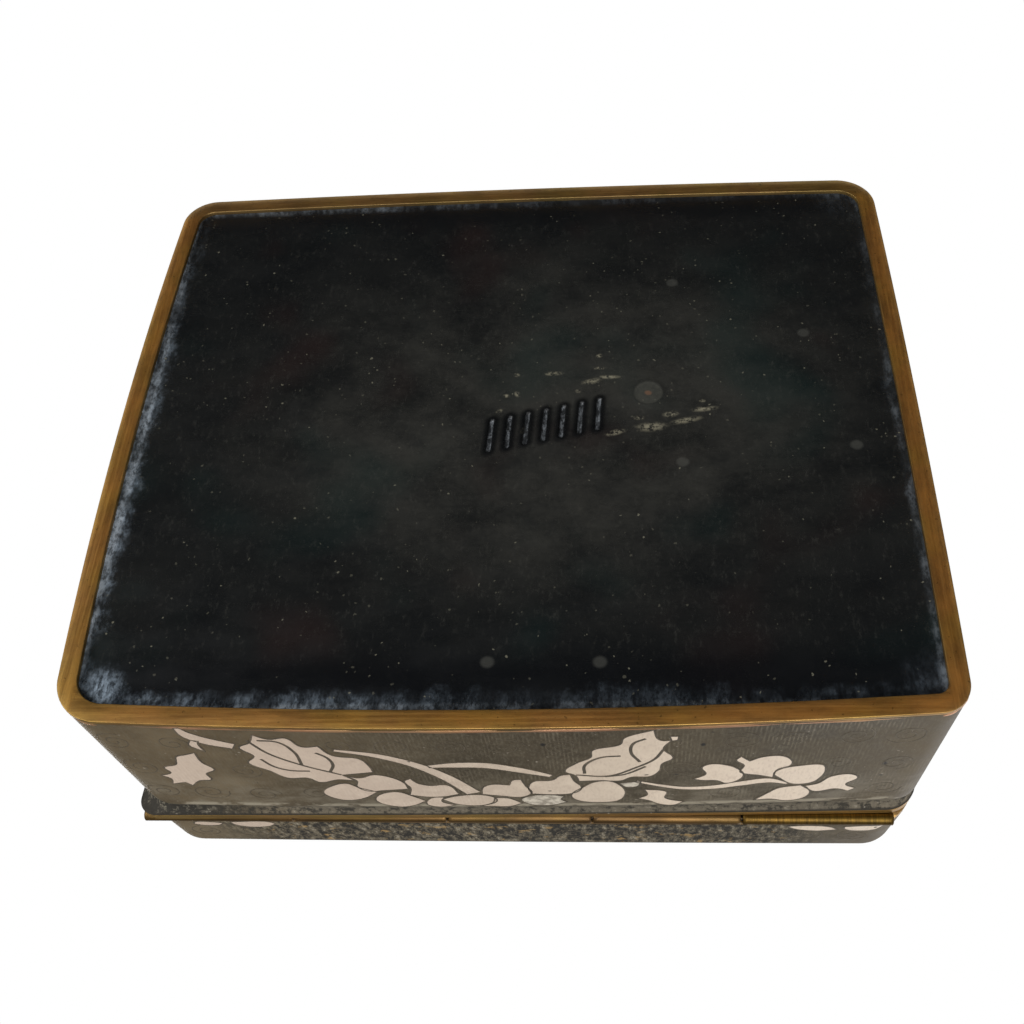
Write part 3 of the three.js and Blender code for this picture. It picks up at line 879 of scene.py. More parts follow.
def on_outline(marks, low_line, high_line, mark, share):
    """Point on the surface between two outlines and its outward direction."""
    mark %= marks[-1]
    index = bisect_right(marks, mark) - 1
    along = (mark - marks[index]) / (marks[index + 1] - marks[index])
    after = (index + 1) % len(low_line)
    low = low_line[index].lerp(low_line[after], along)
    high = high_line[index].lerp(high_line[after], along)
    run = (low_line[after] - low_line[index]).normalized()
    return low.lerp(high, share), Vector((run.y, -run.x))


def on_band(side, low_line, high_line, low, high, zero=0.0, spin=Matrix.Identity(4)):
    """An upright side as a function from millimetres across and up, and metres proud of it, to a point."""
    marks = running_lengths(low_line)

    def at(across, up, lift):
        mark = mark_of(marks, low_line, side, across * MM)
        level = zero + up * MM
        share = min(max((level - low) / (high - low), 0), 1)
        spot, out = on_outline(marks, low_line, high_line, mark, share)
        return spin @ Vector((spot.x + out.x * lift, spot.y + out.y * lift, level))
    return at


def on_wall(side):
    return on_band(side, outline(foot_plan), outline(cove_plan), foot_high.z, COVE_START)


def flow(points, closed=True):
    """Smooth line through a few points, in short steps. Sharp turns stay sharp."""
    points = [Vector(p) for p in points]
    count = len(points)

    def heading(before, here, after, chord):
        coming, going = here - before, after - here
        if coming.length < 1e-6 or going.length < 1e-6 or coming.angle(going) > SHARP_TURN:
            return chord
        return (coming.normalized() + going.normalized()).normalized() * chord.length

    line = []
    for i in range(count if closed else count - 1):
        here, after = points[i], points[(i + 1) % count]
        before = points[i - 1] if closed or i else here
        beyond = points[(i + 2) % count] if closed or i + 2 < count else after
        chord = after - here
        leave = heading(before, here, after, chord)
        arrive = heading(here, after, beyond, chord)
        steps = max(2, math.ceil(chord.length / LINE_STEP))
        for step in range(steps):
            t = step / steps
            line.append(here * (2 * t ** 3 - 3 * t ** 2 + 1) + leave * (t ** 3 - 2 * t ** 2 + t)
                        + after * (3 * t ** 2 - 2 * t ** 3) + arrive * (t ** 3 - t ** 2))
    if not closed:
        line.append(points[-1])
    return line


def moved(points, shift=(0, 0), turn=0.0, mirror=False):
    """A flat outline mirrored, turned in degrees and shifted."""
    turned = Matrix.Rotation(math.radians(turn), 2)
    flip = -1 if mirror else 1
    return [Vector(shift) + turned @ Vector((flip * p[0], p[1])) for p in points]


class Inlay:
    """Points and faces of one mesh that collects the cells or wires of a surface."""

    def __init__(self):
        self.points, self.faces = [], []

    def add(self, points, faces):
        start = len(self.points)
        self.points += points
        self.faces += [tuple(start + i for i in face) for face in faces]

    def cell(self, line, at):
        """A closed slab of enamel with its face a hair proud of the surface."""
        if sum(a.x * b.y - b.x * a.y for a, b in zip(line, line[1:] + line[:1])) < 0:
            line = line[::-1]
        count = len(line)
        inner = []
        low_x, high_x = min(p.x for p in line), max(p.x for p in line)
        low_y, high_y = min(p.y for p in line), max(p.y for p in line)
        for i in range(int((high_x - low_x) / FILL_STEP) + 1):
            for j in range(int((high_y - low_y) / FILL_STEP) + 1):
                spot = Vector((low_x + (i + 0.5) * FILL_STEP, low_y + (j + 0.5) * FILL_STEP))
                if within(spot, line) and min((spot - p).length for p in line) > FILL_CLEAR:
                    inner.append(spot)
        edges = [(i, (i + 1) % count) for i in range(count)]
        flat, _, faces, *_ = delaunay_2d_cdt(line + inner, edges, [list(range(count))], 1, 1e-6)
        if len(flat) != count + len(inner):
            return
        top = [at(p.x, p.y, CELL_LIFT) for p in flat]
        bottom = [at(p.x, p.y, -SET_DEPTH) for p in flat]
        slab = [tuple(face) for face in faces]
        slab += [tuple(i + len(flat) for i in reversed(face)) for face in faces]
        slab += [(j, i, i + len(flat), j + len(flat)) for i, j in edges]
        self.add(top + bottom, slab)

    def wire(self, line, at, width=WIRE_WIDTH, closed=True, lift=WIRE_LIFT):
        """A flat strip of wire on edge along a line."""
        count = len(line)
        quads = []
        for i, here in enumerate(line):
            before = line[i - 1] if closed or i else here
            after = line[(i + 1) % count] if closed or i + 1 < count else here
            run = (after - before).normalized()
            aside = Vector((-run.y, run.x)) * width / 2
            for spot in (here + aside, here - aside):
                quads.append((at(spot.x, spot.y, lift), at(spot.x, spot.y, -SET_DEPTH)))
        points = [p for pair in quads for p in pair]
        faces = []
        for i in range(count if closed else count - 1):
            a, b = 4 * i, 4 * ((i + 1) % count)
            faces += [(a, b, b + 2, a + 2), (a + 1, a + 3, b + 3, b + 1),
                      (a, a + 1, b + 1, b), (a + 2, b + 2, b + 3, a + 3)]
        if not closed:
            end = 4 * (count - 1)
            faces += [(0, 2, 3, 1), (end, end + 1, end + 3, end + 2)]
        self.add(points, faces)

    def piece(self, name, body, slot, finish):
        made = piece_from(name, self.points, self.faces, body, slot)
        mesh = bmesh.new()
        mesh.from_mesh(made.data)
        bmesh.ops.recalc_face_normals(mesh, faces=mesh.faces)
        mesh.to_mesh(made.data)
        mesh.free()
        made.data.materials.append(finish)
        return crease(made, 40)


def within(spot, line):
    """Whether a point lies inside a closed line."""
    enclosed = False
    for a, b in zip(line, line[1:] + line[:1]):
        if (a.y > spot.y) != (b.y > spot.y) and spot.x < (b.x - a.x) * (spot.y - a.y) / (b.y - a.y) + a.x:
            enclosed = not enclosed
    return enclosed


def band(points, widths):
    """Outline of a stem that follows a few points, with its width at each."""
    line = flow(points, closed=False)
    left, right = [], []
    for i, here in enumerate(line):
        run = (line[min(i + 1, len(line) - 1)] - line[max(i - 1, 0)]).normalized()
        along = i / (len(line) - 1) * (len(widths) - 1)
        slot = min(int(along), len(widths) - 2)
        half = (widths[slot] + (widths[slot + 1] - widths[slot]) * (along - slot)) / 2
        aside = Vector((-run.y, run.x)) * half
        left.append(here + aside)
        right.append(here - aside)
    return left + right[::-1]


LEAF_BIG = [(-36.2, 7.1), (-34.4, 5.5), (-33.1, 2.6), (-31.3, 4.0), (-28.9, 3.5), (-27.4, 6.5),
            (-25.2, 6.2), (-23.9, 9.6), (-20.6, 10.7), (-19.7, 13.5), (-19.6, 15.9), (-24.3, 17.1),
            (-22.9, 19.4), (-25.1, 19.0), (-28.2, 20.2), (-29.6, 18.5), (-32.4, 18.6), (-34.5, 15.7),
            (-36.6, 12.9), (-35.1, 10.2)]
LEAF_BIG_LINES = [
    [(-34.4, 4.6), (-32.7, 9.2), (-29.3, 13.2), (-24.4, 17.0)],
    [(-33.0, 4.5), (-30.4, 4.9), (-29.0, 8.3), (-29.1, 13.1)],
    [(-26.1, 8.6), (-25.0, 10.2), (-24.7, 13.1), (-25.7, 15.8)],
    [(-34.4, 11.3), (-33.2, 14.2), (-31.4, 15.5), (-28.6, 15.7)],
]
LEAF_RIGHT = [(7.4, 15.9), (9.2, 12.6), (11.1, 10.6), (11.5, 7.9), (15.1, 6.1), (15.7, 3.8), (19.5, 1.3),
              (20.6, 5.0), (21.9, 5.0), (20.9, 7.9), (22.3, 11.5), (20.9, 13.4), (20.5, 16.4),
              (19.2, 18.4), (16.7, 18.5), (15.2, 19.9), (12.1, 19.7), (9.2, 19.9), (8.7, 17.4)]
LEAF_RIGHT_LINES = [
    [(8.9, 17.3), (13.4, 17.9), (17.3, 14.7), (19.7, 11.8), (20.9, 8.2)],
    [(10.1, 16.8), (10.3, 13.4), (12.6, 10.6), (15.2, 10.2)],
    [(18.5, 4.2), (17.0, 5.6), (16.6, 9.0), (17.8, 12.6)],
    [(12.9, 18.2), (15.6, 17.4), (18.6, 14.4)],
]
LEAF_SMALL = [(-46.3, 11.1), (-44.9, 10.4), (-43.2, 9.5), (-43.3, 13.2), (-42.4, 15.8), (-44.1, 17.5),
              (-44.2, 19.9), (-45.9, 20.3), (-47.8, 22.5), (-48.5, 21.2), (-50.7, 22.0), (-50.2, 19.8),
              (-51.2, 18.6), (-49.4, 17.5), (-49.6, 15.4), (-47.5, 14.2), (-46.9, 12.7)]
BLOSSOM = {
    "low_left": [(-28.6, 24.6), (-26.7, 21.8), (-24.5, 20.8), (-23.1, 22.4), (-20.8, 24.2), (-23.3, 26.9),
                 (-25.9, 27.8), (-27.7, 26.8)],
    "high_left": [(-23.9, 17.5), (-22.1, 18.4), (-19.7, 17.1), (-17.7, 18.0), (-16.2, 20.2), (-16.0, 22.7),
                  (-19.3, 23.3), (-21.9, 23.6), (-23.0, 21.9), (-22.6, 19.4)],
    "left": [(-20.5, 25.6), (-17.7, 24.3), (-15.7, 26.2), (-14.2, 28.1), (-16.4, 30.2), (-18.6, 30.7),
             (-21.3, 28.4)],
    "forked": [(-15.7, 19.6), (-14.7, 18.6), (-13.9, 20.6), (-12.5, 21.4), (-10.1, 21.2), (-8.8, 24.9),
               (-11.1, 26.0), (-13.6, 26.1), (-15.9, 25.3), (-15.3, 22.4)],
    "forked_right": [(-5.1, 25.0), (-4.5, 22.0), (-3.2, 21.0), (-0.9, 21.3), (-0.2, 19.3), (0.9, 19.1),
                     (1.3, 21.6), (1.9, 24.7), (0.4, 26.3), (-2.4, 25.8)],
    "right": [(2.0, 22.1), (3.0, 19.8), (5.3, 19.5), (6.7, 17.6), (8.0, 17.3), (8.4, 19.8), (9.3, 22.6),
              (8.2, 24.7), (5.6, 25.3), (2.3, 24.9)],
    "round": [(8.0, 26.1), (9.9, 22.4), (11.5, 20.5), (13.3, 20.2), (14.9, 22.0), (15.6, 25.5), (14.5, 28.4),
              (11.9, 29.0), (9.0, 28.2)],
    "centre": [(-11.3, 27.4), (-9.0, 26.0), (-5.3, 25.6), (-3.6, 27.0), (-3.9, 28.9), (-6.5, 30.2),
               (-9.3, 29.6)],
    "centre_left": [(-13.9, 28.4), (-12.5, 26.6), (-11.1, 26.6), (-11.6, 28.6), (-9.9, 30.0), (-12.1, 30.8),
                    (-13.8, 30.1)],
    "centre_right": [(-3.5, 26.8), (-1.6, 27.1), (0.2, 29.3), (-1.9, 30.7), (-4.2, 30.5), (-6.0, 30.5),
                     (-4.0, 28.9)],
}
BLOSSOM_SWELL = 1.05
VEIN_WIRE = 1.8
STEM_WIRE = 0.8
SMALL_BLOSSOM = [
    [(25.4, 19.9), (27.0, 18.1), (26.4, 15.2), (27.6, 14.1), (29.8, 14.7), (31.5, 16.4), (32.4, 18.9),
     (31.7, 20.9), (30.2, 21.9), (28.7, 20.7), (26.8, 20.5)],
    [(30.9, 12.9), (31.5, 11.6), (32.8, 13.4), (34.3, 12.1), (36.8, 11.8), (38.4, 13.4), (38.6, 15.5),
     (37.0, 16.9), (36.6, 20.1), (34.7, 19.1), (31.9, 17.7), (32.1, 14.9)],
    [(36.6, 18.5), (37.6, 16.7), (40.0, 15.8), (43.0, 15.8), (43.7, 17.8), (43.5, 20.3), (42.3, 22.7),
     (39.8, 23.0), (37.7, 20.6)],
    [(41.6, 24.0), (43.3, 23.2), (44.9, 20.5), (47.4, 19.8), (48.8, 21.3), (47.5, 23.9), (49.1, 25.6),
     (48.2, 26.7), (46.3, 25.6), (43.3, 26.4)],
    [(34.8, 29.5), (36.4, 26.8), (37.9, 24.6), (41.0, 23.6), (42.7, 26.5), (42.0, 29.1), (39.7, 30.1),
     (37.2, 29.2)],
]
STEMS = [
    ([(-23.4, 7.6), (-18.1, 9.4), (-13.4, 12.8), (-9.6, 17.9), (-6.4, 24.7)], (0.8, 1.6, 1.9, 2.2, 2.4)),
    ([(-11.4, 13.6), (-8.2, 13.1), (-3.5, 13.2), (0.8, 15.0), (5.4, 17.6)], (1.0, 2.0, 2.1, 1.9, 1.0)),
    ([(17.3, 20.3), (20.7, 22.2), (24.0, 23.5), (28.1, 23.5), (32.4, 22.2), (36.1, 21.3), (39.0, 22.8)],
     (0.7, 1.0, 1.2, 1.5, 1.8, 1.9, 0.6)),
    ([(-42.8, 0.9), (-42.1, 3.2), (-40.3, 5.0), (-36.8, 6.8)], (0.8, 2.2, 2.4, 1.9)),
]
TWIG_SPUR = [(-43.0, 6.9), (-42.3, 5.0), (-41.2, 5.2), (-41.6, 6.4), (-41.5, 9.0), (-42.3, 8.0)]
PALE_BITS = [
    [(0.3, 27.6), (2.4, 25.8), (5.0, 25.7), (6.8, 26.3), (6.3, 27.8), (7.1, 28.9), (4.7, 30.3),
     (2.1, 30.2), (0.9, 29.2)],
    [(14.9, 21.1), (16.4, 20.6), (18.0, 20.4), (17.5, 22.4), (16.1, 22.8)],
]
LOW_BIT = [(17.6, 27.7), (18.9, 26.3), (18.5, 23.8), (21.7, 24.9), (21.7, 27.8), (24.4, 29.5),
           (22.9, 31.0), (20.8, 30.4), (19.3, 28.8)]
SMALL_BIT = [(21.6, 3.6), (22.8, 3.7), (22.6, 5.0), (21.9, 5.2)]


def swollen(points, share):
    """An outline grown about its own middle."""
    middle = sum((Vector(p) for p in points), Vector((0, 0))) / len(points)
    return [middle + (Vector(p) - middle) * share for p in points]


def laid(cells, wires, at, outlines, lines=(), swell=1.0, **change):
    """Sets smooth cells with their wires into a surface, and further wires across them."""
    closed = []
    for points in outlines:
        line = flow(moved(swollen(points, swell), **change))
        cells.cell(line, at)
        wires.wire(line, at)
        closed.append(line)
    for points in lines:
        vein = flow(moved(points, **change), closed=False)
        wires.wire(vein, at, width=WIRE_WIDTH * VEIN_WIRE, closed=False)
    return closed


def stemmed(cells, wires, at, stems, **change):
    """Sets stems with their wires into a surface."""
    closed = []
    for points, widths in stems:
        line = band(moved(points, **change), widths)
        cells.cell(line, at)
        wires.wire(line, at, width=WIRE_WIDTH * STEM_WIRE)
        closed.append(line)
    return closed


def make_white():
    """White enamel with a pink cast: mottled, stained and pitted, with painted light making it lighter
    towards +X and painted shade making it darker in the middle of the wall.
    """
    made, tree, shader = finish_of("white_enamel_pink")
    pinholes = shared(tree, dust, Speck_Scale=1500.0, Cloud_Scale=260.0, Speck_Share=0.05)["Pinholes"]
    mottle = noise(tree, place(tree), 420.0, 5.0, 0.62)
    lines = shared(tree, hatching, Line_Pitch=GRIND_PITCH)["Lines"]
    across = axes(tree)["X"]
    # Painted light: the white is painted lighter towards +X, mixed with its own mottle.
    rightward_light_and_mottle = maths(tree, "ADD", between(tree, across, -50 * MM, 50 * MM), maths(tree, "SUBTRACT", mottle, 0.5))
    colour = blend_colour(tree, between(tree, rightward_light_and_mottle, 0.0, 1.0), (0.46, 0.37, 0.295, 1),
                          (0.62, 0.52, 0.415, 1))
    # Painted shade: the white is painted darker in the middle of the wall.
    off_middle = maths(tree, "ABSOLUTE", maths(tree, "SUBTRACT", across, 3 * MM))
    painted_shade_middle = between(tree, off_middle, 8 * MM, 26 * MM, 0.5, 0.0)
    colour = blend_colour(tree, painted_shade_middle, colour, (0.78, 0.78, 0.76, 1), "MULTIPLY")
    colour = coat(tree, colour, lines, 0.15, (0.7, 0.62, 0.52, 1))
    grain = noise(tree, place(tree, (1, 1, 0.3)), 2800.0, 2.0)
    colour = coat(tree, colour, between(tree, grain, 0.45, 0.75), 0.35, (0.36, 0.28, 0.22, 1))
    stain = noise(tree, place(tree), 900.0, 6.0, 0.7)
    colour = coat(tree, colour, between(tree, stain, 0.6, 0.78), 0.6, (0.26, 0.17, 0.11, 1))
    colour = coat(tree, colour, pinholes, 0.9, (0.05, 0.04, 0.03, 1))
    tree.links.new(colour, shader.inputs["Base Color"])
    tree.links.new(between(tree, mottle, 0.3, 0.7, 0.34, 0.5), shader.inputs["Roughness"])
    bump_into(tree, shader, maths(tree, "SUBTRACT", mottle, pinholes), 0.2, 0.06 * MM)
    return made


def make_pale():
    """Thin grey-white enamel that has nearly worn through to the ground."""
    made, tree, shader = finish_of("pale_enamel_worn")
    mottle = noise(tree, place(tree), 800.0, 5.0, 0.65)
    colour = blend_colour(tree, between(tree, mottle, 0.35, 0.62), (0.22, 0.19, 0.15, 1),
                          (0.5, 0.45, 0.37, 1))
    tree.links.new(colour, shader.inputs["Base Color"])
    tree.links.new(between(tree, mottle, 0.3, 0.7, 0.36, 0.5), shader.inputs["Roughness"])
    bump_into(tree, shader, mottle, 0.15, 0.04 * MM)
    return made


def make_wire(name, dull, worn):
    """Copper wire, tarnished dark, with a brown glint where it is worn."""
    made, tree, shader = finish_of(name)
    rub = noise(tree, place(tree), 500.0, 4.0, 0.6)
    colour = blend_colour(tree, between(tree, rub, 0.42, 0.7), dull, worn)
    tree.links.new(colour, shader.inputs["Base Color"])
    tree.links.new(between(tree, rub, 0.4, 0.8, 0.55, 0.4), shader.inputs["Roughness"])
    shader.inputs["Metallic"].default_value = 0.2
    bump_into(tree, shader, rub, 0.1, 0.04 * MM)
    return made


white = make_white()
pale = make_pale()
cell_wire = make_wire("cell_wire_tarnished", (0.068, 0.056, 0.04, 1), (0.125, 0.1, 0.07, 1))

SCROLL_STEP = 7.2
SCROLL_WIRE = 0.14
SCROLL_LIFT = 0.025 * MM
SCROLL_POINTS = 34
SCROLL_TURNS = 1.9
SCROLL_LEAST = 6


def scrolls(wires, at, low, high, keep_off, seed):
    """Cloud scrolls of thin wire that fill the ground, cut off where they meet a flower."""
    chance = random.Random(seed)
    boxes = []
    for line in keep_off:
        xs = [p.x for p in line]
        ys = [p.y for p in line]
        boxes.append((min(xs) - 0.3, max(xs) + 0.3, min(ys) - 0.3, max(ys) + 0.3, line))
    columns = int((high[0] - low[0]) / SCROLL_STEP)
    rows = int((high[1] - low[1]) / SCROLL_STEP)
    for column in range(columns):
        for row in range(rows):
            across = low[0] + (column + 0.5) * (high[0] - low[0]) / columns + chance.uniform(-0.5, 0.5)
            up = low[1] + (row + 0.5) * (high[1] - low[1]) / rows + chance.uniform(-0.4, 0.4)
            middle = Vector((across, up))
            start = chance.uniform(0, 2 * math.pi)
            way = chance.choice((-1, 1))
            reach = chance.uniform(2.5, 3.1)
            line = []
            for step in range(SCROLL_POINTS):
                share = step / (SCROLL_POINTS - 1)
                a = start + way * 2 * SCROLL_TURNS * math.pi * share
                spot = middle + Vector((math.cos(a), math.sin(a))) * reach * (0.12 + 0.88 * share)
                if any(x0 < spot.x < x1 and y0 < spot.y < y1 and within(spot, shape)
                       for x0, x1, y0, y1, shape in boxes):
                    break
                line.append(spot)
            if len(line) >= SCROLL_LEAST:
                wires.wire(line, at, width=SCROLL_WIRE, closed=False, lift=SCROLL_LIFT)


scroll_wire = make_wire("scroll_wire_brown", (0.065, 0.052, 0.035, 1), (0.11, 0.09, 0.063, 1))
back = on_wall(BACK)
back_cells, back_wires, back_pale, back_scrolls = Inlay(), Inlay(), Inlay(), Inlay()
back_lines = laid(back_cells, back_wires, back, [LEAF_BIG], LEAF_BIG_LINES)
back_lines += laid(back_cells, back_wires, back, [LEAF_RIGHT], LEAF_RIGHT_LINES)
back_lines += laid(back_cells, back_wires, back, [LEAF_SMALL, TWIG_SPUR, SMALL_BIT, LOW_BIT])
back_lines += stemmed(back_cells, back_wires, back, STEMS)
back_lines += laid(back_cells, back_wires, back, BLOSSOM.values(), swell=BLOSSOM_SWELL)
back_lines += laid(back_cells, back_wires, back, SMALL_BLOSSOM)
back_lines += laid(back_pale, back_wires, back, PALE_BITS)
back_cells.piece("back_wall_flowers", "box_body", "ground_enamel", white)
back_pale.piece("back_wall_pale_cells", "box_body", "ground_enamel", pale)
back_wires.piece("back_wall_wires", "box_body", "rim_brass", cell_wire)
scrolls(back_scrolls, back, (-LONG_HALF, GROUND_LOW), (LONG_HALF, GROUND_HIGH), back_lines, 11)
back_scrolls.piece("back_wall_scrolls", "box_body", "rim_brass", scroll_wire)

# Flowers of the other walls. The same sprays, plainer and turned round, since the picture does not show
# them: white cells in copper wire on the grey ground, with cloud scrolls between.


def spray(cells, wires, at, small=True, **change):
    """One spray of two leaves, stems and a blossom, and the small blossom and leaf beside it if wanted."""
    lines = laid(cells, wires, at, [LEAF_BIG], LEAF_BIG_LINES, **change)
    lines += laid(cells, wires, at, [LEAF_RIGHT], LEAF_RIGHT_LINES, **change)
    lines += stemmed(cells, wires, at, STEMS if small else STEMS[:2], **change)
    lines += laid(cells, wires, at, BLOSSOM.values(), swell=BLOSSOM_SWELL, **change)
    if small:
        lines += laid(cells, wires, at, [LEAF_SMALL, TWIG_SPUR, *SMALL_BLOSSOM], **change)
    return lines


WALL_SPRAYS = {
    "front": (FRONT, LONG_HALF, {"mirror": True}),
    "right": (RIGHT, SHORT_HALF, {"shift": (8, 0), "small": False}),
    "left": (LEFT, SHORT_HALF, {"shift": (-8, 0), "small": False, "mirror": True}),
}
for name, (side, half, change) in WALL_SPRAYS.items():
    cells, wires, clouds = Inlay(), Inlay(), Inlay()
    surface = on_wall(side)
    lines = spray(cells, wires, surface, **change)
    scrolls(clouds, surface, (-half, GROUND_LOW), (half, GROUND_HIGH), lines, 12 + side)
    cells.piece(f"{name}_wall_flowers", "box_body", "ground_enamel", white)
    wires.piece(f"{name}_wall_wires", "box_body", "rim_brass", cell_wire)
    clouds.piece(f"{name}_wall_scrolls", "box_body", "rim_brass", scroll_wire)

# Mouth rim of the body. A brass strip on the flared edge of the wall, with a round groove filed along
# the back for the hinge barrel to lie in.
LID_TURN = math.radians(0.75)
SEAM = mouth_high.z + 0.15 * MM
HINGE_Y = BODY_DEPTH / 2 + 0.2 * MM
GROOVE_RADIUS = 1.12 * MM
GROOVE_SIDES = 32
RIM_EASE = 0.3 * MM
about_lid = Matrix.Rotation(LID_TURN, 4, "Z")


def filed_groove(piece):
    """Cuts the round groove of the hinge out of a rim, then frees the cutter."""
    rod = bpy.data.meshes.new("groove_rod")
    painted_light_at_ends = []
    for side in (-1, 1):
        for step in range(GROOVE_SIDES):
            a = 2 * math.pi * step / GROOVE_SIDES
            painted_light_at_ends.append((side * BODY_WIDTH, HINGE_Y + GROOVE_RADIUS * math.cos(a),
                         SEAM + GROOVE_RADIUS * math.sin(a)))
    faces = [tuple(reversed(range(GROOVE_SIDES))), tuple(range(GROOVE_SIDES, 2 * GROOVE_SIDES))]
    for i in range(GROOVE_SIDES):
        j = (i + 1) % GROOVE_SIDES
        faces.append((i, j, j + GROOVE_SIDES, i + GROOVE_SIDES))
    rod.from_pydata(painted_light_at_ends, [], faces)
    rod.transform(about_lid)
    cutter = bpy.data.objects.new("groove_rod", rod)
    bpy.context.collection.objects.link(cutter)
    cut = piece.modifiers.new("groove", "BOOLEAN")
    cut.operation = "DIFFERENCE"
    cut.solver = "EXACT"
    cut.object = cutter
    finished = bpy.data.meshes.new_from_object(piece.evaluated_get(bpy.context.evaluated_depsgraph_get()))
    piece.modifiers.clear()
    piece.data = finished
    bpy.data.objects.remove(cutter)
    return piece


mouth_rings = rounded_strip(
    lambda grow: outline(cove_plan, grow - WALL),
    lambda grow: with_horn(outline(mouth_plan, grow)),
    mouth_low.z,
    mouth_high.z,
    RIM_EASE,
)
mouth_rim = piece_from("mouth_rim_brass", *skin(mouth_rings, True), "box_body", "rim_brass")
mouth_rim.data.materials.append(rim_brass)
crease(filed_groove(mouth_rim), 40)
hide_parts("body_mouth_rim")

# Lid rim. The same brass strip round the lower edge of the lid, a little wider than the body's.
lid_low, lid_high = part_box("lid_rim")
shell_low, shell_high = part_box("lid_shell")
LID_RIM_WIDTH = 2.6 * MM
lid_plan = {
    "width": BODY_WIDTH + 1.6 * MM,
    "depth": BODY_DEPTH + 1.3 * MM,
    "radii": [6.2 * MM] * 4,
    "bows": [0.15 * MM] * 4,
    "shift": -0.15 * MM,
}
lid_rim_rings = rounded_strip(
    lambda grow: outline(lid_plan, grow - LID_RIM_WIDTH),
    lambda grow: outline(lid_plan, grow),
    lid_low.z,
    lid_high.z,
    RIM_EASE,
)
lid_rim_points, lid_rim_faces = skin(lid_rim_rings, True)
lid_rim_points = [about_lid @ p for p in lid_rim_points]
lid_rim = piece_from("lid_rim_brass", lid_rim_points, lid_rim_faces, "lid", "rim_brass")
lid_rim.data.materials.append(rim_brass)
crease(filed_groove(lid_rim), 40)
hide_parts("lid_rim")

# Lid shell. Sheet copper raised to a flat-topped lid with a rounded shoulder, enamelled on both faces.
LID_SIDE = 9.2 * MM
LID_SIDE_STEPS = 8
LID_LEAN = 0.05
LID_SHOULDER = 5 * MM
LID_THICKNESS = 2 * MM
SHOULDER_STEPS = 14
TOP_SINK = 0.07 * MM


def lid_rings(thickness):
    """Rings of one face of the lid, from its lower edge up over the shoulder to the flat top."""
    shoulder = LID_SHOULDER - thickness - TOP_SINK
    start = shell_low.z + LID_SIDE
    lean = LID_SIDE * LID_LEAN
    rows = [ring(outline(lid_plan, -thickness), lid_high.z)]
    for step in range(1, LID_SIDE_STEPS + 1):
        share = step / LID_SIDE_STEPS
        rows.append(ring(outline(lid_plan, -thickness - lean * share),
                         lid_high.z + (start - lid_high.z) * share))
    for step in range(1, SHOULDER_STEPS + 1):
        a = math.pi / 2 * step / SHOULDER_STEPS
        rows.append(ring(outline(lid_plan, -thickness - lean - shoulder * (1 - math.cos(a))),
                         start + shoulder * math.sin(a)))
    return rows


lid_points, lid_faces = skin([*reversed(lid_rings(LID_THICKNESS)), *lid_rings(0)], False)
lid_points = [about_lid @ p for p in lid_points]
lid_shell = piece_from("lid_shell_enamel", lid_points, lid_faces, "lid", "ground_enamel")
crease(lid_shell, 60)
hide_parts("lid_shell")
lid_shell.data.materials.append(ground_enamel("lid_enamel_grey", lid_dirt))
line_inside(lid_shell, lambda face: max(face.vertices) < len(lid_points) // 2)

# Flowers of the lid. Bits of white cells show on its back side beside the hinge. The top, which the
# picture hides, has two sprays in the same enamel and wire, and scrolls fill the top and the sides.
TOP_EDGE = 6.5
LID_LONG_HALF = 56
LID_SHORT_HALF = 46
LID_GROUND_LOW = 1.4
LID_GROUND_HIGH = 9.0
TOP_SPRAYS = [{"shift": (2, -40), "turn": 3}, {"shift": (-2, 40), "turn": 183}]
BACK_BITS = [
    [(-52.7, 0.3), (-49.8, 0.3), (-48.2, 0.8), (-49.0, 1.8), (-51.4, 2.2), (-53.2, 1.4)],
    [(-46.9, 0.1), (-40.2, 0.1), (-39.7, 1.0), (-41.1, 2.3), (-44.3, 2.8), (-46.5, 1.6)],
    [(41.5, 0.6), (44.6, 0.1), (48.2, 0.8), (49.5, 2.2), (46.2, 2.9), (43.2, 2.1)],
    [(50.4, 0.7), (54.3, 0.1), (56.6, 0.5), (55.4, 2.2), (52.3, 2.8), (50.6, 1.9)],
]


def on_lid(side):
    """A side of the lid as a surface, with its lower edge at zero."""
    return on_band(side, outline(lid_plan), outline(lid_plan, -LID_SIDE * LID_LEAN), lid_high.z,
                   shell_low.z + LID_SIDE, lid_high.z, about_lid)


def on_top(across, up, lift):
    return about_lid @ Vector((across * MM, up * MM, shell_high.z - TOP_SINK + lift))


top_cells, top_wires, top_scrolls = Inlay(), Inlay(), Inlay()
top_lines = []
for change in TOP_SPRAYS:
    top_lines += spray(top_cells, top_wires, on_top, **change)
half_x = lid_plan["width"] / 2 / MM - TOP_EDGE
half_y = lid_plan["depth"] / 2 / MM - TOP_EDGE
scrolls(top_scrolls, on_top, (-half_x, -half_y), (half_x, half_y), top_lines, 21)
laid(top_cells, top_wires, on_lid(BACK), BACK_BITS)
for side in (FRONT, RIGHT, BACK, LEFT):
    half = LID_LONG_HALF if side in (FRONT, BACK) else LID_SHORT_HALF
    scrolls(top_scrolls, on_lid(side), (-half, LID_GROUND_LOW), (half, LID_GROUND_HIGH), [], 31 + side)
top_cells.piece("lid_flowers", "lid", "ground_enamel", white)
top_wires.piece("lid_wires", "lid", "rim_brass", cell_wire)
top_scrolls.piece("lid_scrolls", "lid", "rim_brass", scroll_wire)

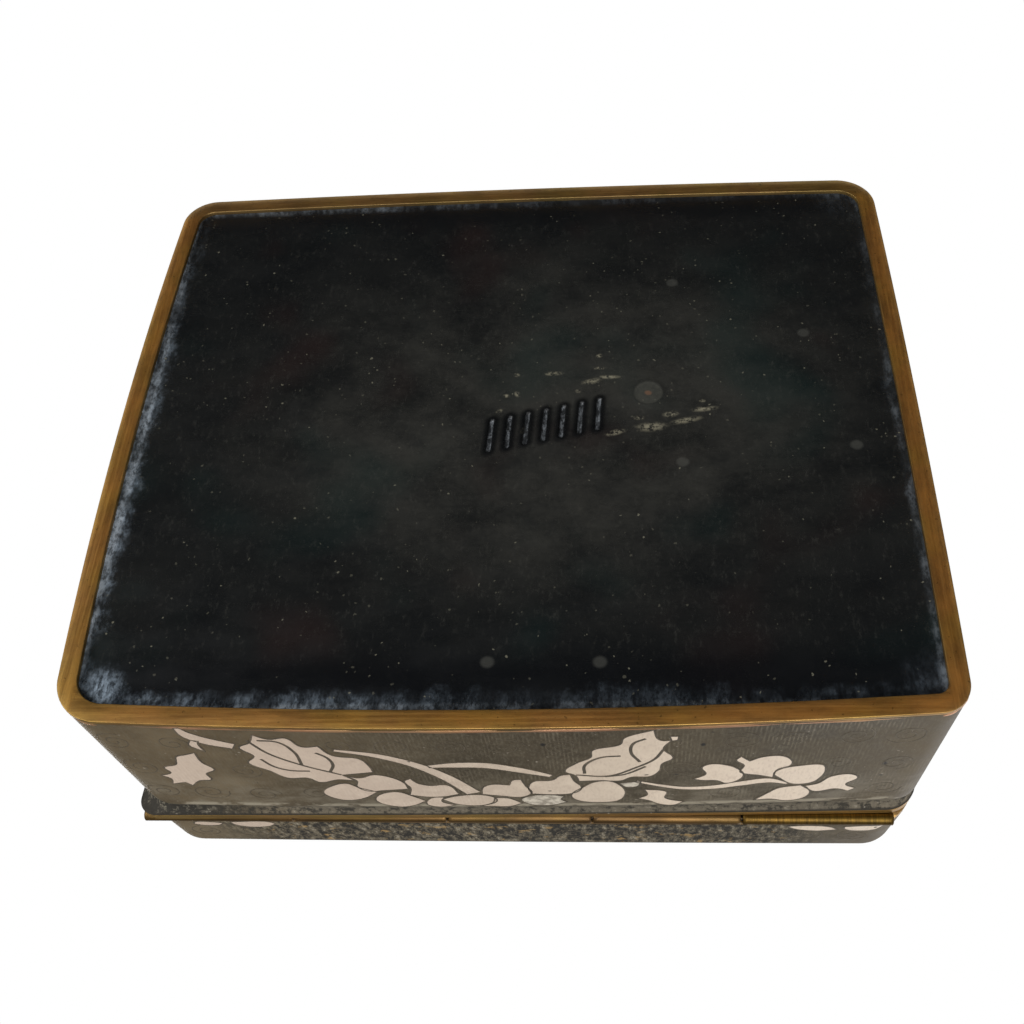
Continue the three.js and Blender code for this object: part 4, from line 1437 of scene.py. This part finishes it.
# Hinge. Five drawn brass knuckles, in turn on the body and the lid, with one wire pin through them all.
# The last one, towards +X, is the cleanest and most golden, with file marks straight across it.
HINGE_START = -59.8 * MM
KNUCKLE_LENGTHS = [24.2 * MM, 24.4 * MM, 22.6 * MM, 23 * MM, 23.2 * MM]
KNUCKLE_RADIUS = 1 * MM
KNUCKLE_EASE = 0.12 * MM
KNUCKLE_ROUND = 40
BORE_RADIUS = 0.53 * MM
SPLIT = 0.3 * MM
PIN_RADIUS = 0.45 * MM
PIN_CORE = 0.02 * MM
PIN_EASE = 0.15 * MM
PIN_INSET = 0.1 * MM
hinge_brass = brass("hinge_brass_brown", (0.155, 0.087, 0.028, 1), (0.035, 0.019, 0.008, 1), 1900.0, 0.85)
golden_brass = brass("hinge_brass_golden", (0.108, 0.06, 0.009, 1), (0.06, 0.032, 0.006, 1), 1900.0, 0.6,
                     filed=True)
# The pin is coloured nearly black as painted shade, so that the gaps between the knuckles look dark.
pin_painted_dark = brass("hinge_pin_painted_shade", (0.03, 0.019, 0.009, 1), (0.008, 0.006, 0.004, 1), 1900.0, 0.9)


def tube_between(name, start, end, radius, bore, ease, body, finish):
    """A tube along the hinge line, open through its bore, with rounded ends."""
    length = end - start
    profile = [(0, bore), (0, radius - 1.6 * ease), (ease * 0.4, radius - 0.7 * ease), (ease, radius)]
    steps = max(2, round(length / (0.5 * MM)))
    profile += [(ease + (length - 2 * ease) * step / steps, radius) for step in range(1, steps + 1)]
    profile += [(length - ease * 0.4, radius - 0.7 * ease), (length, radius - 1.6 * ease), (length, bore)]
    points, faces = [], []
    for along, out in profile:
        for turn in range(KNUCKLE_ROUND):
            a = 2 * math.pi * turn / KNUCKLE_ROUND
            points.append(Vector((start + along, HINGE_Y + out * math.cos(a), SEAM + out * math.sin(a))))
    rows = len(profile)
    for row in range(rows):
        for i in range(KNUCKLE_ROUND):
            j = (i + 1) % KNUCKLE_ROUND
            here = row * KNUCKLE_ROUND
            there = (row + 1) % rows * KNUCKLE_ROUND
            faces.append((here + i, here + j, there + j, there + i))
    made = piece_from(name, [about_lid @ p for p in points], faces, body, "hinge_brass")
    made.data.materials.append(finish)
    return crease(made, 50)


bodies = frame["record"]["behaviour"]["bodies"]
knuckle_start = HINGE_START
for number, length in enumerate(KNUCKLE_LENGTHS, 1):
    name = f"hinge_knuckle_{number}"
    owner = next(body for body, nodes in bodies.items() if name in nodes)
    finish = golden_brass if number == len(KNUCKLE_LENGTHS) else hinge_brass
    barrel = tube_between(f"{name}_filed", knuckle_start, knuckle_start + length - SPLIT, KNUCKLE_RADIUS,
                          BORE_RADIUS, KNUCKLE_EASE, owner, finish)
    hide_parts(name)
    knuckle_start += length
pin = tube_between("hinge_pin_brass", HINGE_START + PIN_INSET, knuckle_start - SPLIT - PIN_INSET, PIN_RADIUS,
                   PIN_CORE, PIN_EASE, "box_body", pin_painted_dark)
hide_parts("hinge_pin")

# Stage, light and camera. The box is seen from below and behind, as it lies upside down in the picture.
# The pale floor shows its upper face alone, so that the light and the view from below reach the base.
FLOOR_HALF = 3
FLOOR_LEVEL = -0.3 * MM
floor_corners = [(x * FLOOR_HALF, y * FLOOR_HALF, FLOOR_LEVEL) for x, y in CORNER_SIGNS]
floor_mesh = bpy.data.meshes.new("floor")
floor_mesh.from_pydata(floor_corners, [], [(0, 1, 2, 3)])
floor = bpy.data.objects.new("floor", floor_mesh)
bpy.context.collection.objects.link(floor)
floor.visible_shadow = False
floor_paint, tree, shader = finish_of("pale_floor")
shader.inputs["Base Color"].default_value = (0.8, 0.79, 0.77, 1)
shader.inputs["Roughness"].default_value = 0.8
behind = put(tree, "ShaderNodeNewGeometry")
clear = put(tree, "ShaderNodeBsdfTransparent")
shown = put(tree, "ShaderNodeMixShader", None, _0=behind.outputs["Backfacing"], _1=shader.outputs[0],
            _2=clear.outputs[0])
tree.links.new(shown.outputs[0], tree.nodes["Material Output"].inputs["Surface"])
floor_mesh.materials.append(floor_paint)

world = bpy.data.worlds.new("studio")
bpy.context.scene.world = world
world.use_nodes = True
air = world.node_tree
ray = put(air, "ShaderNodeLightPath")
dim = put(air, "ShaderNodeBackground", None, Color=(1, 0.98, 0.95, 1), Strength=0.16)
seen = put(air, "ShaderNodeBackground", None, Color=(1, 1, 1, 1), Strength=1.0)
sky = put(air, "ShaderNodeMixShader", None, _0=ray.outputs["Is Camera Ray"], _1=dim.outputs[0],
          _2=seen.outputs[0])
air.links.new(sky.outputs[0], air.nodes["World Output"].inputs["Surface"])
bpy.context.scene.view_settings.view_transform = "Standard"

SOFTBOXES = [
    ("below_behind", (0.08, 0.58, -0.36), 0.3, 4.0),
    ("below_left", (-0.5, 0.15, -0.45), 0.35, 3.0),
]
SKYLIGHTS = [
    ("above_front_left", (-0.5, -0.6, 0.9), 50, 2.1),
    ("above_right", (0.7, 0.25, 0.8), 60, 0.8),
]


def lamp_at(name, kind, where, aim, power):
    """A lamp at a place, turned to face a point."""
    lamp = bpy.data.lights.new(name, kind)
    lamp.energy = power
    made = bpy.data.objects.new(name, lamp)
    bpy.context.collection.objects.link(made)
    made.location = where
    made.rotation_euler = (Vector(where) - aim).to_track_quat("Z", "Y").to_euler()
    return lamp


for name, where, size, power in SOFTBOXES:
    lamp_at(name, "AREA", where, (cad_low + cad_high) / 2, power).size = size
for name, where, spread, power in SKYLIGHTS:
    lamp_at(name, "SUN", where, Vector((0, 0, 0)), power).angle = math.radians(spread)

camera_data = bpy.data.cameras.new("camera")
camera_data.lens = 39.281
camera_data.sensor_width = 36
camera_data.shift_x = -0.0489
camera_data.shift_y = 0.0476
camera_data.clip_start = 0.005
camera = bpy.data.objects.new("camera", camera_data)
bpy.context.collection.objects.link(camera)
camera.location = (15.478 * MM, 108.943 * MM, -131.454 * MM)
camera.rotation_euler = [math.radians(turn) for turn in (-147.955, -3.036, -0.663)]
bpy.context.scene.camera = camera
